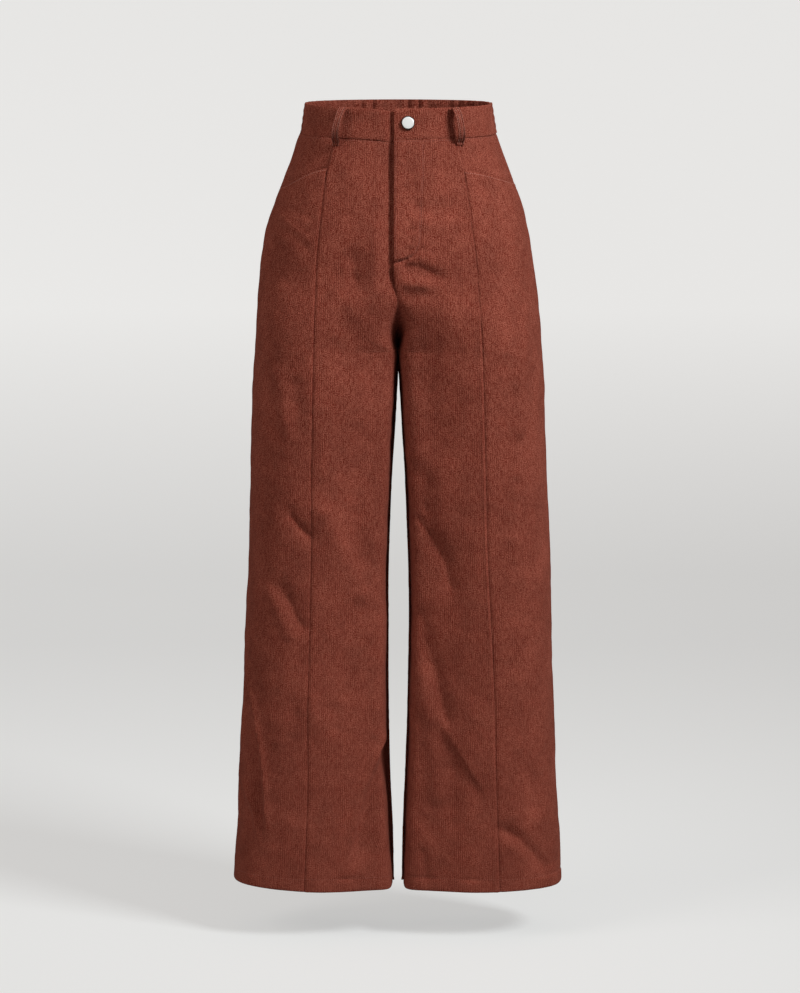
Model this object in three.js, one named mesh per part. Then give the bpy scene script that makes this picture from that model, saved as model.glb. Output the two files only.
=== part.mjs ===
// High-waisted wide-leg corduroy trousers, worn and hollow, in millimetres.
// +X is the wearer's left, -Y the front, +Z up. The origin is the centre of the waistband.
import * as THREE from "three";

const WALL = 1.8;
const BAND_WALL = 3.0;
const BAND_OUT = 1.0;
const SEAM_GAP = 0.3;
const BAND_TOP = 21;
const BAND_LOW = -18;
const HIP = -186;
const CROTCH = -288;
const HEM = -1000;
const RIGHT = -1;
const LEFT = 1;

// Sections down the garment: half widths on the wearer's right and left, the inner
// edges of the two legs, and how far the cloth reaches to the front and the back.
const SECTIONS = [
  { level: 22, right: 119.3, left: 119.6, innerRight: 0.15, innerLeft: 0.15, front: 93, back: 95 },
  { level: -1, right: 122.8, left: 122.6, innerRight: 0.15, innerLeft: 0.15, front: 94.5, back: 96 },
  { level: -17, right: 125.6, left: 125.4, innerRight: 0.15, innerLeft: 0.15, front: 95.5, back: 97.5 },
  { level: -31, right: 130.8, left: 130.5, innerRight: 0.15, innerLeft: 0.15, front: 97, back: 100 },
  { level: -53, right: 139.3, left: 139.9, innerRight: 0.15, innerLeft: 0.15, front: 100, back: 105 },
  { level: -80, right: 150.2, left: 150.8, innerRight: 0.15, innerLeft: 0.15, front: 103.5, back: 111.5 },
  { level: -100, right: 158.4, left: 158.9, innerRight: 0.15, innerLeft: 0.15, front: 106, back: 117 },
  { level: -131, right: 169.4, left: 167.6, innerRight: 0.15, innerLeft: 0.15, front: 109, back: 123 },
  { level: -163, right: 176, left: 173.2, innerRight: 0.15, innerLeft: 0.15, front: 111, back: 126.5 },
  { level: -200, right: 180.2, left: 178.4, innerRight: 0.15, innerLeft: 0.15, front: 111, back: 127 },
  { level: -240, right: 183.6, left: 183, innerRight: 0.15, innerLeft: 0.15, front: 109.5, back: 126 },
  { level: -288, right: 187, left: 187.5, innerRight: 0.15, innerLeft: 0.15, front: 107, back: 122 },
  { level: -326, right: 188.8, left: 189.8, innerRight: 2.8, innerLeft: 3.4, front: 105, back: 118 },
  { level: -392, right: 191.2, left: 192.7, innerRight: 6.4, innerLeft: 7.4, front: 101, back: 111.5 },
  { level: -458, right: 193.4, left: 195.5, innerRight: 10.6, innerLeft: 11.4, front: 96.5, back: 106 },
  { level: -524, right: 195.2, left: 198.3, innerRight: 13.4, innerLeft: 14, front: 92, back: 101 },
  { level: -590, right: 198, left: 200.7, innerRight: 15.3, innerLeft: 16.2, front: 87.5, back: 96.5 },
  { level: -657, right: 201.6, left: 202.6, innerRight: 15.2, innerLeft: 16.6, front: 83, back: 92.5 },
  { level: -724, right: 204.2, left: 204.6, innerRight: 15.4, innerLeft: 15.5, front: 79, back: 89 },
  { level: -791, right: 207.4, left: 206.5, innerRight: 14.6, innerLeft: 14, front: 75.5, back: 86 },
  { level: -859, right: 211.4, left: 209.5, innerRight: 12.9, innerLeft: 11.5, front: 73, back: 83 },
  { level: -926, right: 214.6, left: 213.7, innerRight: 9.8, innerLeft: 8.8, front: 71, back: 80.5 },
  { level: -1000, right: 217.8, left: 217.2, innerRight: 8.2, innerLeft: 7.2, front: 70, back: 78 },
];

// The long front seam of each leg: its distance from the middle.
const FRONT_SEAM = [
  { level: -18, right: 79.5, left: 79.0 },
  { level: -55, right: 90.2, left: 83.5 },
  { level: -100, right: 96.6, left: 90.5 },
  { level: -145, right: 101.7, left: 96.3 },
  { level: -195, right: 105.0, left: 101.5 },
  { level: -296, right: 108.0, left: 107.9 },
  { level: -451, right: 111.5, left: 112.5 },
  { level: -556, right: 112.2, left: 115.6 },
  { level: -690, right: 115.8, left: 122.9 },
  { level: -768, right: 118.4, left: 125.8 },
  { level: -850, right: 118.0, left: 128.0 },
  { level: -1000, right: 123.3, left: 133.4 },
];

// The pocket mouth from the front seam (across 0) to the side seam (across 1).
const MOUTH = [
  { across: 0, right: -55.5, left: -58.8 },
  { across: 0.15, right: -60.5, left: -61.8 },
  { across: 0.35, right: -70.5, left: -68.5 },
  { across: 0.6, right: -80.0, left: -74.8 },
  { across: 1, right: -84.0, left: -80.2 },
];

// Folds: a line on one face of one leg, its half width, how deep it goes (minus) or
// how far it stands up (plus), and for a turned edge the side that drops away,
// 1 for +X or -1 for -X.
const FOLDS = [
  // The wearer's right leg, front, from the hip to the hem.
  { leg: RIGHT, face: "front", line: [[-57, -172], [-57, -200]], width: 14, height: -4.4, drop: 0 },
  { leg: RIGHT, face: "front", line: [[-57, -230], [-26, -275]], width: 15, height: 2.9, drop: 0 },
  {
    leg: RIGHT, face: "front", width: 10, height: 2.7, drop: 0,
    line: [[-155, -318], [-148, -356], [-137, -396]],
  },
  { leg: RIGHT, face: "front", line: [[-130, -330], [-128, -390]], width: 10, height: -2.4, drop: 0 },
  {
    leg: RIGHT, face: "front", width: 13, height: 3.9, drop: 0,
    line: [[-94, -496], [-82, -527], [-71, -546], [-49, -602]],
  },
  { leg: RIGHT, face: "front", line: [[-54, -500], [-46, -556]], width: 14, height: -2.7, drop: 0 },
  {
    leg: RIGHT, face: "front", width: 10, height: -2.7, drop: 0,
    line: [[-140, -496], [-127, -513], [-114, -526]],
  },
  {
    leg: RIGHT, face: "front", width: 11, height: -2.9, drop: 0,
    line: [[-147, -600], [-138, -622], [-124, -644]],
  },
  {
    leg: RIGHT, face: "front", width: 9, height: 2.4, drop: 0,
    line: [[-164, -602], [-154, -626], [-142, -656]],
  },
  {
    leg: RIGHT, face: "front", width: 10, height: -9.4, drop: -1,
    line: [[-198, -714], [-189, -759], [-180, -812], [-176, -857], [-175, -898]],
  },
  {
    leg: RIGHT, face: "front", width: 9, height: -4.9, drop: -1,
    line: [[-209, -862], [-198, -889], [-191, -912]],
  },
  { leg: RIGHT, face: "front", line: [[-157, -774], [-157, -792]], width: 14, height: 2.7, drop: 0 },
  {
    leg: RIGHT, face: "front", width: 11, height: -7.2, drop: 1,
    line: [[-22, -812], [-46, -866], [-56, -907], [-62, -938]],
  },
  // The wearer's left leg, front.
  { leg: LEFT, face: "front", line: [[4, -178], [25, -180], [51, -190]], width: 9, height: -3.6, drop: 0 },
  { leg: LEFT, face: "front", line: [[4, -214], [42, -215]], width: 9, height: -2.2, drop: 0 },
  { leg: LEFT, face: "front", line: [[15, -270], [19, -330], [27, -420]], width: 13, height: 4.1, drop: 0 },
  { leg: LEFT, face: "front", line: [[53, -440], [60, -515]], width: 14, height: 2.4, drop: 0 },
  {
    leg: LEFT, face: "front", width: 13, height: -3.1, drop: 0,
    line: [[44, -530], [62, -564], [67, -594]],
  },
  {
    leg: LEFT, face: "front", width: 11, height: -3.6, drop: 0,
    line: [[28, -634], [44, -697], [53, -730], [62, -770]],
  },
  { leg: LEFT, face: "front", line: [[34, -712], [44, -789], [54, -871]], width: 13, height: 4.1, drop: 0 },
  {
    leg: LEFT, face: "front", width: 11, height: -2.8, drop: -1,
    line: [[60, -782], [89, -831], [106, -856]],
  },
  { leg: LEFT, face: "front", line: [[69, -836], [71, -906]], width: 12, height: -3.4, drop: 0 },
  { leg: LEFT, face: "front", line: [[179, -856], [180, -884]], width: 11, height: -2.6, drop: 0 },
  {
    leg: LEFT, face: "front", width: 9, height: -4.3, drop: 0,
    line: [[136, -915], [161, -930], [194, -970]],
  },
  // The backs: what such trousers do under the seat and behind the knees.
  { leg: RIGHT, face: "back", line: [[-30, -322], [-135, -290]], width: 17, height: -5, drop: 0 },
  { leg: LEFT, face: "back", line: [[36, -334], [128, -306]], width: 18, height: -5, drop: 0 },
  { leg: RIGHT, face: "back", line: [[-26, -352], [-96, -330]], width: 12, height: -2.4, drop: 0 },
  { leg: LEFT, face: "back", line: [[24, -362], [88, -346]], width: 12, height: -2.4, drop: 0 },
  { leg: RIGHT, face: "back", line: [[-60, -500], [-138, -548]], width: 15, height: -4, drop: 0 },
  { leg: LEFT, face: "back", line: [[70, -545], [150, -505]], width: 16, height: -4, drop: 0 },
  { leg: RIGHT, face: "back", line: [[-150, -606], [-80, -660]], width: 14, height: -3.6, drop: 0 },
  { leg: LEFT, face: "back", line: [[60, -640], [140, -700]], width: 16, height: -4, drop: 0 },
  { leg: RIGHT, face: "back", line: [[-70, -770], [-96, -940]], width: 17, height: -4.6, drop: 0 },
  { leg: LEFT, face: "back", line: [[150, -790], [128, -950]], width: 17, height: -4.6, drop: 0 },
  { leg: RIGHT, face: "back", line: [[-160, -700], [-168, -880]], width: 15, height: -3.2, drop: 0 },
  { leg: LEFT, face: "back", line: [[62, -800], [58, -950]], width: 14, height: -3, drop: 0 },
];

// The gathers of the elastic back waist: how many on each half, their height in the
// band, and how far down the panel under it they fade.
const GATHERS = { count: 11, height: 2.1, fadeEnd: -96 };
const BACK_LOOP_AROUND = 0.82;

// The centre-front closing: how far the wearer's left laps over the right.
const FLY = { overlap: 5.2, underlap: 12, step: 2.6, bandStep: 3.4, sag: 3 };

function clamp(value, low, high) {
  return Math.min(high, Math.max(low, value));
}

function smooth(low, high, value) {
  const u = clamp((value - low) / (high - low), 0, 1);
  return u * u * (3 - 2 * u);
}

// A smooth curve through one named column of a table.
function column(table, key, at, name) {
  const last = table.length - 1;
  const direction = Math.sign(table[last][key] - table[0][key]);
  const value = direction > 0 ? at : -at;
  const place = (row) => direction * table[row][key];
  if (value <= place(0)) {
    const slope = (table[1][name] - table[0][name]) / (place(1) - place(0));
    return table[0][name] + slope * (value - place(0));
  }
  if (value >= place(last)) return table[last][name];
  let row = 0;
  while (value > place(row + 1)) row += 1;
  const slopeAt = (index) => {
    const before = Math.max(0, index - 1);
    const after = Math.min(last, index + 1);
    return (table[after][name] - table[before][name]) / (place(after) - place(before));
  };
  const span = place(row + 1) - place(row);
  const u = (value - place(row)) / span;
  const rise = table[row + 1][name] - table[row][name];
  return (
    table[row][name] +
    rise * (3 * u * u - 2 * u * u * u) +
    span * slopeAt(row) * (u * u * u - 2 * u * u + u) +
    span * slopeAt(row + 1) * (u * u * u - u * u)
  );
}

const sideName = (side) => (side === RIGHT ? "right" : "left");

// Each half is a rounded loop. Down to the hip it is cut off at the middle a quarter
// turn from the side; from there its centre moves outward until it closes as a leg.
function loopOf(side, level) {
  const name = sideName(side);
  const width = column(SECTIONS, "level", level, name);
  const innerName = side === RIGHT ? "innerRight" : "innerLeft";
  const inner = level > CROTCH ? SEAM_GAP / 2 : column(SECTIONS, "level", level, innerName);
  const share = clamp((level - CROTCH) / (HIP - CROTCH), 0, 1);
  const closed = 1 - smooth(0, 1, share);
  const centre = inner + ((width - inner) * closed) / (1 + closed);
  return {
    centre,
    halfWidth: width - centre,
    front: column(SECTIONS, "level", level, "front"),
    back: column(SECTIONS, "level", level, "back"),
    halfTurn: Math.acos(-closed),
    asLeg: closed,
  };
}

// The plain form of one half at an angle from its side, minus toward the front.
function formAtAngle(side, level, angle) {
  const MIDDLE_Y = 4;
  const FULLER = 0.05;
  const INNER_WIDE = 0.11;
  const INNER_DEEP = 0.45;
  const loop = loopOf(side, level);
  const around = 0.5 + (0.5 * angle) / loop.halfTurn;
  const quarter = Math.PI / 2;
  const turn = Math.abs(angle);
  let wide = 1 + FULLER * Math.sin(2 * turn) ** 2;
  let deep = wide * Math.sin(turn);
  if (turn > quarter) {
    const inward = (turn - quarter) / Math.max(loop.halfTurn - quarter, 0.01);
    const square = Math.sin(Math.PI * clamp(inward, 0, 1) ** 1.6) ** 2;
    wide = 1 + INNER_WIDE * loop.asLeg * Math.sin(Math.PI * inward) ** 2;
    deep = Math.sin(turn) + (1 - Math.sin(turn)) * INNER_DEEP * Math.sqrt(loop.asLeg) * square;
  }
  const reach = angle < 0 ? loop.front + MIDDLE_Y : loop.back - MIDDLE_Y;
  const x = side * (loop.centre + loop.halfWidth * Math.cos(angle) * wide);
  const y = MIDDLE_Y + reach * Math.sign(angle) * deep;
  const backRise = 9 * 0.5 * (1 - Math.cos(Math.PI * Math.abs(around) ** 0.8));
  let z = level + backRise * clamp((level + 130) / 110, 0, 1);
  if (side === RIGHT && angle < 0)
    z -= FLY.sag * Math.exp(-((x / 30) ** 2)) * smooth(-80, -30, level);
  const outerLift = side === RIGHT ? 5 : 2;
  z += outerLift * smooth(-0.2, 1, Math.cos(angle)) * smooth(-900, HEM, level);
  return new THREE.Vector3(x, y, z);
}

// Places round a half are shares: 0 at the front middle or inseam, 0.5 at the side,
// 1 at the back middle or inseam.
function angleAt(side, level, around) {
  return (2 * around - 1) * loopOf(side, level).halfTurn;
}

function plainForm(side, level, around) {
  return formAtAngle(side, level, angleAt(side, level, around));
}

// How far one fold lifts the cloth at a point of the front or back.
function foldHeight(fold, x, z) {
  const last = fold.line.length - 2;
  let distance = Infinity;
  let across = 0;
  let beyond = 0;
  for (let i = 0; i <= last; i += 1) {
    const [x1, z1] = fold.line[i];
    const [x2, z2] = fold.line[i + 1];
    const length = Math.hypot(x2 - x1, z2 - z1);
    const along = ((x - x1) * (x2 - x1) + (z - z1) * (z2 - z1)) / length;
    const sideways = ((x - x1) * (z2 - z1) - (z - z1) * (x2 - x1)) / length;
    const short = Math.max(0, -along);
    const over = Math.max(0, along - length);
    const away = Math.hypot(sideways, short + over);
    if (away >= distance) continue;
    distance = away;
    across = sideways * Math.sign(z2 - z1 || 1);
    beyond = (i === 0 ? short : 0) + (i === last ? over : 0);
  }
  if (fold.drop === 0) return fold.height * Math.exp(-((distance / fold.width) ** 2));
  const outward = (across * fold.drop) / fold.width;
  const trough = Math.max(outward, 0) * Math.exp(1 - Math.max(outward, 0));
  const crest = 0.28 * Math.exp(-((outward / 0.55) ** 2));
  const ends = Math.exp(-((beyond / (1.6 * fold.width)) ** 2));
  return fold.height * (trough - crest) * ends;
}

// Where the gathers rise and fall around the back, uneven from one to the next.
function gatherWave(side, around) {
  const share = clamp((around - 0.5) / 0.5, 0, 1);
  const drift = side === RIGHT ? 0.3 : 1.9;
  const turns =
    GATHERS.count * share +
    0.32 * Math.sin(2 * Math.PI * (2.3 * share + drift)) +
    0.14 * Math.sin(2 * Math.PI * (5.1 * share + 2 * drift));
  const ends = smooth(0, 0.07, share) * smooth(0, 0.05, 1 - share);
  const size = 0.8 + 0.3 * Math.sin(2 * Math.PI * (3.7 * share + drift));
  const flatUnderLoop = 1 - 0.9 * Math.exp(-(((around - BACK_LOOP_AROUND) / 0.03) ** 2));
  return Math.sin(2 * Math.PI * turns) * ends * size * flatUnderLoop;
}

function gatherHeight(side, level, around) {
  if (around <= 0.5 || level < GATHERS.fadeEnd) return 0;
  return GATHERS.height * smooth(GATHERS.fadeEnd, BAND_LOW - 4, level) * gatherWave(side, around);
}

// The form with its folds and gathers, at an angle.
function foldedAtAngle(side, level, angle) {
  const point = formAtAngle(side, level, angle);
  const around = 0.5 + (0.5 * angle) / loopOf(side, level).halfTurn;
  const face = angle < 0 ? "front" : "back";
  let height = 0;
  for (const fold of FOLDS)
    if (fold.leg === side && fold.face === face) height += foldHeight(fold, point.x, point.z);
  const fromInner = Math.min(around, 1 - around);
  height *= smooth(0, level > CROTCH - 60 ? 0.06 : 0.03, fromInner);
  height *= smooth(0, 0.05, Math.abs(around - 0.5));
  height += gatherHeight(side, level, around);
  if (height === 0) return point;
  const step = 0.01;
  const ahead = formAtAngle(side, level, angle + step);
  const behind = formAtAngle(side, level, angle - step);
  const outward = new THREE.Vector3(ahead.y - behind.y, behind.x - ahead.x, 0).normalize();
  return point.addScaledVector(outward, height * side);
}

function form(side, level, around) {
  return foldedAtAngle(side, level, angleAt(side, level, around));
}

function outwardAt(side, level, around) {
  const angle = angleAt(side, level, around);
  const turn = 0.015;
  const reach = 2;
  const ahead = foldedAtAngle(side, level, angle + turn);
  const behind = foldedAtAngle(side, level, angle - turn);
  const higher = foldedAtAngle(side, level + reach, angle);
  const lower = foldedAtAngle(side, level - reach, angle);
  return ahead.sub(behind).cross(higher.sub(lower)).normalize().multiplyScalar(side);
}

// The place on the front half of a row where the form stands at a distance x.
function aroundAtX(side, level, x) {
  let low = 0;
  let high = 0.5;
  for (let pass = 0; pass < 40; pass += 1) {
    const middle = (low + high) / 2;
    if (Math.abs(plainForm(side, level, middle).x) < x) low = middle;
    else high = middle;
  }
  return (low + high) / 2;
}

// A place a few millimetres beside the long front seam, plus toward the side seam.
function besideFrontSeam(side, level, beside) {
  const seam = aroundAtX(side, level, column(FRONT_SEAM, "level", level, sideName(side)));
  return seam + shareOf(side, level, seam, beside);
}

// A place a few millimetres beside the side seam, plus toward the back.
function besideSideSeam(side, level, beside) {
  return 0.5 + shareOf(side, level, 0.5, beside);
}

// A length in millimetres along a row, as a share of the way around.
function shareOf(side, level, around, length) {
  const step = 0.002;
  const ahead = plainForm(side, level, around + step);
  const behind = plainForm(side, level, around - step);
  return (length * 2 * step) / ahead.distanceTo(behind);
}

// Joins two rows of points, whatever their numbers, with triangles that face outward
// when the rows run counter-clockwise seen from outside and the second is lower.
function joinRows(upper, lower, triangles, flip) {
  let i = 0;
  let j = 0;
  while (i < upper.length - 1 || j < lower.length - 1) {
    const nextUpper = i < upper.length - 1 ? upper[i + 1].across : Infinity;
    const nextLower = j < lower.length - 1 ? lower[j + 1].across : Infinity;
    let corners;
    if (nextUpper <= nextLower + 1e-9) {
      corners = [upper[i].index, lower[j].index, upper[i + 1].index];
      i += 1;
    } else {
      corners = [upper[i].index, lower[j].index, lower[j + 1].index];
      j += 1;
    }
    if (flip) corners.reverse();
    triangles.push(...corners);
  }
}

// A closed sheet of cloth. Each row is a list of { across, out, in }: a place from
// 0 to 1 along the row and the points on the outer and the inner face.
function clothSolid(name, rows, side) {
  const positions = [];
  const triangles = [];
  const add = (point) => {
    positions.push(point.x, point.y, point.z);
    return positions.length / 3 - 1;
  };
  const outer = rows.map((row) => row.map((p) => ({ across: p.across, index: add(p.out) })));
  const inner = rows.map((row) => row.map((p) => ({ across: p.across, index: add(p.in) })));
  const turned = side === RIGHT;
  for (let row = 0; row < rows.length - 1; row += 1) {
    joinRows(outer[row], outer[row + 1], triangles, turned);
    joinRows(inner[row], inner[row + 1], triangles, !turned);
  }
  const wall = (a, b, c, d) => {
    if (turned) triangles.push(a, c, b, b, c, d);
    else triangles.push(a, b, c, b, d, c);
  };
  const top = 0;
  const bottom = rows.length - 1;
  for (let i = 0; i < outer[top].length - 1; i += 1)
    wall(outer[top][i].index, outer[top][i + 1].index, inner[top][i].index, inner[top][i + 1].index);
  for (let i = 0; i < outer[bottom].length - 1; i += 1)
    wall(
      inner[bottom][i].index,
      inner[bottom][i + 1].index,
      outer[bottom][i].index,
      outer[bottom][i + 1].index,
    );
  for (let row = 0; row < rows.length - 1; row += 1) {
    const first = 0;
    const endHere = outer[row].length - 1;
    const endNext = outer[row + 1].length - 1;
    wall(
      outer[row][first].index,
      inner[row][first].index,
      outer[row + 1][first].index,
      inner[row + 1][first].index,
    );
    wall(
      inner[row][endHere].index,
      outer[row][endHere].index,
      inner[row + 1][endNext].index,
      outer[row + 1][endNext].index,
    );
  }
  const geometry = new THREE.BufferGeometry();
  geometry.setAttribute("position", new THREE.Float32BufferAttribute(positions, 3));
  geometry.setIndex(triangles);
  geometry.computeVertexNormals();
  return meshOf(name, geometry, CLOTH);
}

const CLOTH = new THREE.MeshStandardMaterial({ color: 0x7a3d30, roughness: 0.9 });
const METAL = new THREE.MeshStandardMaterial({ color: 0xd8d8d6, roughness: 0.35, metalness: 1 });

function meshOf(name, geometry, material) {
  const mesh = new THREE.Mesh(geometry, material);
  mesh.name = name;
  return mesh;
}

// Points of one row. The places are given as shares across the piece; the level may
// change along the row, and the start and end follow the level.
function rowOf(side, levelAt, start, end, places, offsets) {
  return places.map((across) => {
    const level = levelAt(across);
    const around = start(level) + (end(level) - start(level)) * across;
    const point = form(side, level, around);
    const outward = outwardAt(side, level, around);
    const { out, wall } = offsets(around, level, across);
    return {
      across,
      out: point.clone().addScaledVector(outward, out),
      in: point.clone().addScaledVector(outward, out - wall),
    };
  });
}

function evenPlaces(count) {
  return Array.from({ length: count + 1 }, (_, i) => i / count);
}

// Seams dip a little, over the last few millimetres beside them.
function seamDip(across, level) {
  const SEAM_DIP = 0.7;
  const edge = Math.min(across, 1 - across);
  return edge < 0.01 ? SEAM_DIP * smooth(-90, -110, level) : 0;
}

// Levels of the rows of a full-length panel, close together round the crotch.
const RISE_LEVELS = [-30, -50, -75, -100, -125, -148, -166, -172, -180, -186, -200];
const CROTCH_LEVELS = [-215, -237, -257, -272, -281.5, -286.3, CROTCH];
const LEG_LEVELS = [
  -300, -320, -350, -380, -412, -445, -475, -500, -525, -555, -590, -615, -640, -672, -705, -735,
  -765, -795, -825, -850, -875, -900, -925, -950, -978, HEM,
];

// Where the front panel starts in each row: past the middle where the closing laps, on a
// seam that runs back to the middle below it, and a seam's half gap round on the legs.
function frontStart(side, level) {
  if (level <= CROTCH) return shareOf(side, level, 0, SEAM_GAP / 2);
  const seam = FLY.overlap * smooth(-238, -182, level);
  const under = smooth(-184, -168, level);
  const lap = side === LEFT ? seam : FLY.underlap * under - seam * (1 - under);
  return -shareOf(side, level, 0, lap);
}

function backEnd(side, level) {
  if (level > CROTCH) return 1;
  return 1 - shareOf(side, level, 1, SEAM_GAP / 2);
}

// The wearer's right front runs under the left: it drops inward near the middle.
function frontOffsets(side, wall, step) {
  return (around, level, across) => {
    const x = side * plainForm(side, level, around).x;
    const drop = side === RIGHT ? step * smooth(14, 5, x) * smooth(-202, -188, level) : 0;
    const lift = side === LEFT ? 0.5 * smooth(12, 0, x) * smooth(-202, -186, level) : 0;
    return { out: lift - drop - seamDip(across, level), wall };
  };
}

function frontCentre(side) {
  const places = [0, 0.05, 0.15, 0.27, 0.4, 0.54, 0.68, 0.82, 0.95, 1];
  const levels = [BAND_LOW - SEAM_GAP / 2, ...RISE_LEVELS, ...CROTCH_LEVELS, ...LEG_LEVELS];
  const offsets = frontOffsets(side, WALL, FLY.step);
  const start = (level) => frontStart(side, level);
  const end = (level) => besideFrontSeam(side, level, -SEAM_GAP / 2);
  const rows = levels.map((level) => rowOf(side, () => level, start, end, places, offsets));
  return clothSolid("front_centre_" + sideName(side), rows, side);
}

// The side front hangs from the pocket mouth, whose edge stands a little proud.
function frontSide(side) {
  const places = [0, 0.07, 0.2, 0.35, 0.5, 0.65, 0.8, 0.93, 1];
  const MOUTH_PROUD = 1.4;
  const mouth = (across) => column(MOUTH, "across", across, sideName(side));
  const rows = [];
  const start = (level) => besideFrontSeam(side, level, SEAM_GAP / 2);
  const end = (level) => besideSideSeam(side, level, -SEAM_GAP / 2);
  const offsets = (around, level, across) => {
    const proud = MOUTH_PROUD * (1 - smooth(4, 34, mouth(across) - level));
    return { out: proud - seamDip(across, level), wall: WALL };
  };
  const row = (levelAt) => rows.push(rowOf(side, levelAt, start, end, places, offsets));
  for (const below of [0, 7, 20]) row((across) => mouth(across) - below);
  for (const share of [0.35, 0.7]) row((across) => (mouth(across) - 20) * (1 - share) - 125 * share);
  for (const level of [-125, -148, -172, -186, -200, ...CROTCH_LEVELS, ...LEG_LEVELS]) row(() => level);
  return clothSolid("front_side_" + sideName(side), rows, side);
}

// The hip facing fills the pocket mouth, set back and running in behind the panels.
function hipFacing(side) {
  const SET_BACK = 2.1;
  const TUCK = 13;
  const UNDER = 4;
  const mouth = (across) => column(MOUTH, "across", across, sideName(side));
  const places = evenPlaces(7);
  const shares = [0, 0.3, 0.6, 0.85, 1];
  const top = BAND_LOW - SEAM_GAP / 2;
  const start = (level) => besideFrontSeam(side, level, -UNDER);
  const end = (level) => besideSideSeam(side, level, -SEAM_GAP / 2);
  const offsets = () => ({ out: -SET_BACK, wall: 1.5 });
  const rows = shares.map((share) => {
    const levelAt = (across) => top + (mouth(across) - TUCK - top) * share;
    return rowOf(side, levelAt, start, end, places, offsets);
  });
  return clothSolid("hip_facing_" + sideName(side), rows, side);
}

function backPanel(side) {
  const gathered = evenPlaces(40);
  const easing = evenPlaces(20);
  const plain = [0, 0.04, 0.11, 0.19, 0.28, 0.37, 0.46, 0.55, 0.64, 0.73, 0.82, 0.9, 0.96, 1];
  const rows = [];
  const start = (level) => besideSideSeam(side, level, SEAM_GAP / 2);
  const end = (level) => backEnd(side, level);
  const offsets = (around, level, across) => ({ out: -seamDip(across, level), wall: WALL });
  const row = (level, places) => rows.push(rowOf(side, () => level, start, end, places, offsets));
  for (const level of [BAND_LOW - 0.45, -36, -56]) row(level, gathered);
  row(-80, easing);
  for (const level of [-108, -140, -172, -186, -200, ...CROTCH_LEVELS, ...LEG_LEVELS]) row(level, plain);
  return clothSolid("back_" + sideName(side), rows, side);
}

const BAND_LEVELS = [BAND_TOP, 12, 2, -8, BAND_LOW + SEAM_GAP / 2];

function bandFront(side) {
  const places = [0, 0.03, 0.08, 0.15, 0.25, 0.37, 0.5, 0.62, 0.75, 0.88, 1];
  const lap = side === LEFT ? FLY.overlap : FLY.underlap;
  const start = (level) => -shareOf(side, level, 0, lap);
  const end = (level) => besideSideSeam(side, level, -SEAM_GAP / 2);
  const offsets = (around, level) => {
    const x = side * plainForm(side, level, around).x;
    const drop = side === RIGHT ? FLY.bandStep * smooth(14, 5, x) : 0;
    return { out: BAND_OUT - drop, wall: BAND_WALL };
  };
  const rows = BAND_LEVELS.map((level) => rowOf(side, () => level, start, end, places, offsets));
  return clothSolid("waistband_front_" + sideName(side), rows, side);
}

// The back band is one piece, gathered on its elastic from side seam to side seam.
function bandBack() {
  const NEAR_MIDDLE = 0.9985;
  const rows = BAND_LEVELS.map((level) => {
    const half = (side) => {
      const start = () => besideSideSeam(side, level, SEAM_GAP / 2);
      const end = () => NEAR_MIDDLE;
      const offsets = () => ({ out: BAND_OUT, wall: BAND_WALL });
      return rowOf(side, () => level, start, end, evenPlaces(40), offsets);
    };
    const left = half(LEFT).map((p) => ({ ...p, across: p.across / 2 }));
    const right = half(RIGHT).map((p) => ({ ...p, across: 1 - p.across / 2 }));
    return [...left, ...right.reverse()];
  });
  return clothSolid("waistband_back", rows, LEFT);
}

// A belt loop: a flat strap that bows off the band. Each point is a height up the
// garment and how far the middle of the strap stands off the cloth.
const LOOP_PATH = [
  { level: 20.6, off: 2.9 },
  { level: 20.4, off: 5.8 },
  { level: 17, off: 10.0 },
  { level: 9.5, off: 12.8 },
  { level: 0, off: 13.6 },
  { level: -9.5, off: 12.6 },
  { level: -17, off: 9.2 },
  { level: -21, off: 5.4 },
  { level: -23.4, off: 2.3 },
  { level: -29, off: 1.5 },
];
const LOOPS = [
  { name: "belt_loop_front_left", side: LEFT, around: 0.188, width: 11, lean: 3 },
  { name: "belt_loop_front_right", side: RIGHT, around: 0.19, width: 11, lean: -1 },
  { name: "belt_loop_back_left", side: LEFT, around: BACK_LOOP_AROUND, width: 11, lean: 0 },
  { name: "belt_loop_back_right", side: RIGHT, around: BACK_LOOP_AROUND, width: 11, lean: 0 },
];

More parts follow.
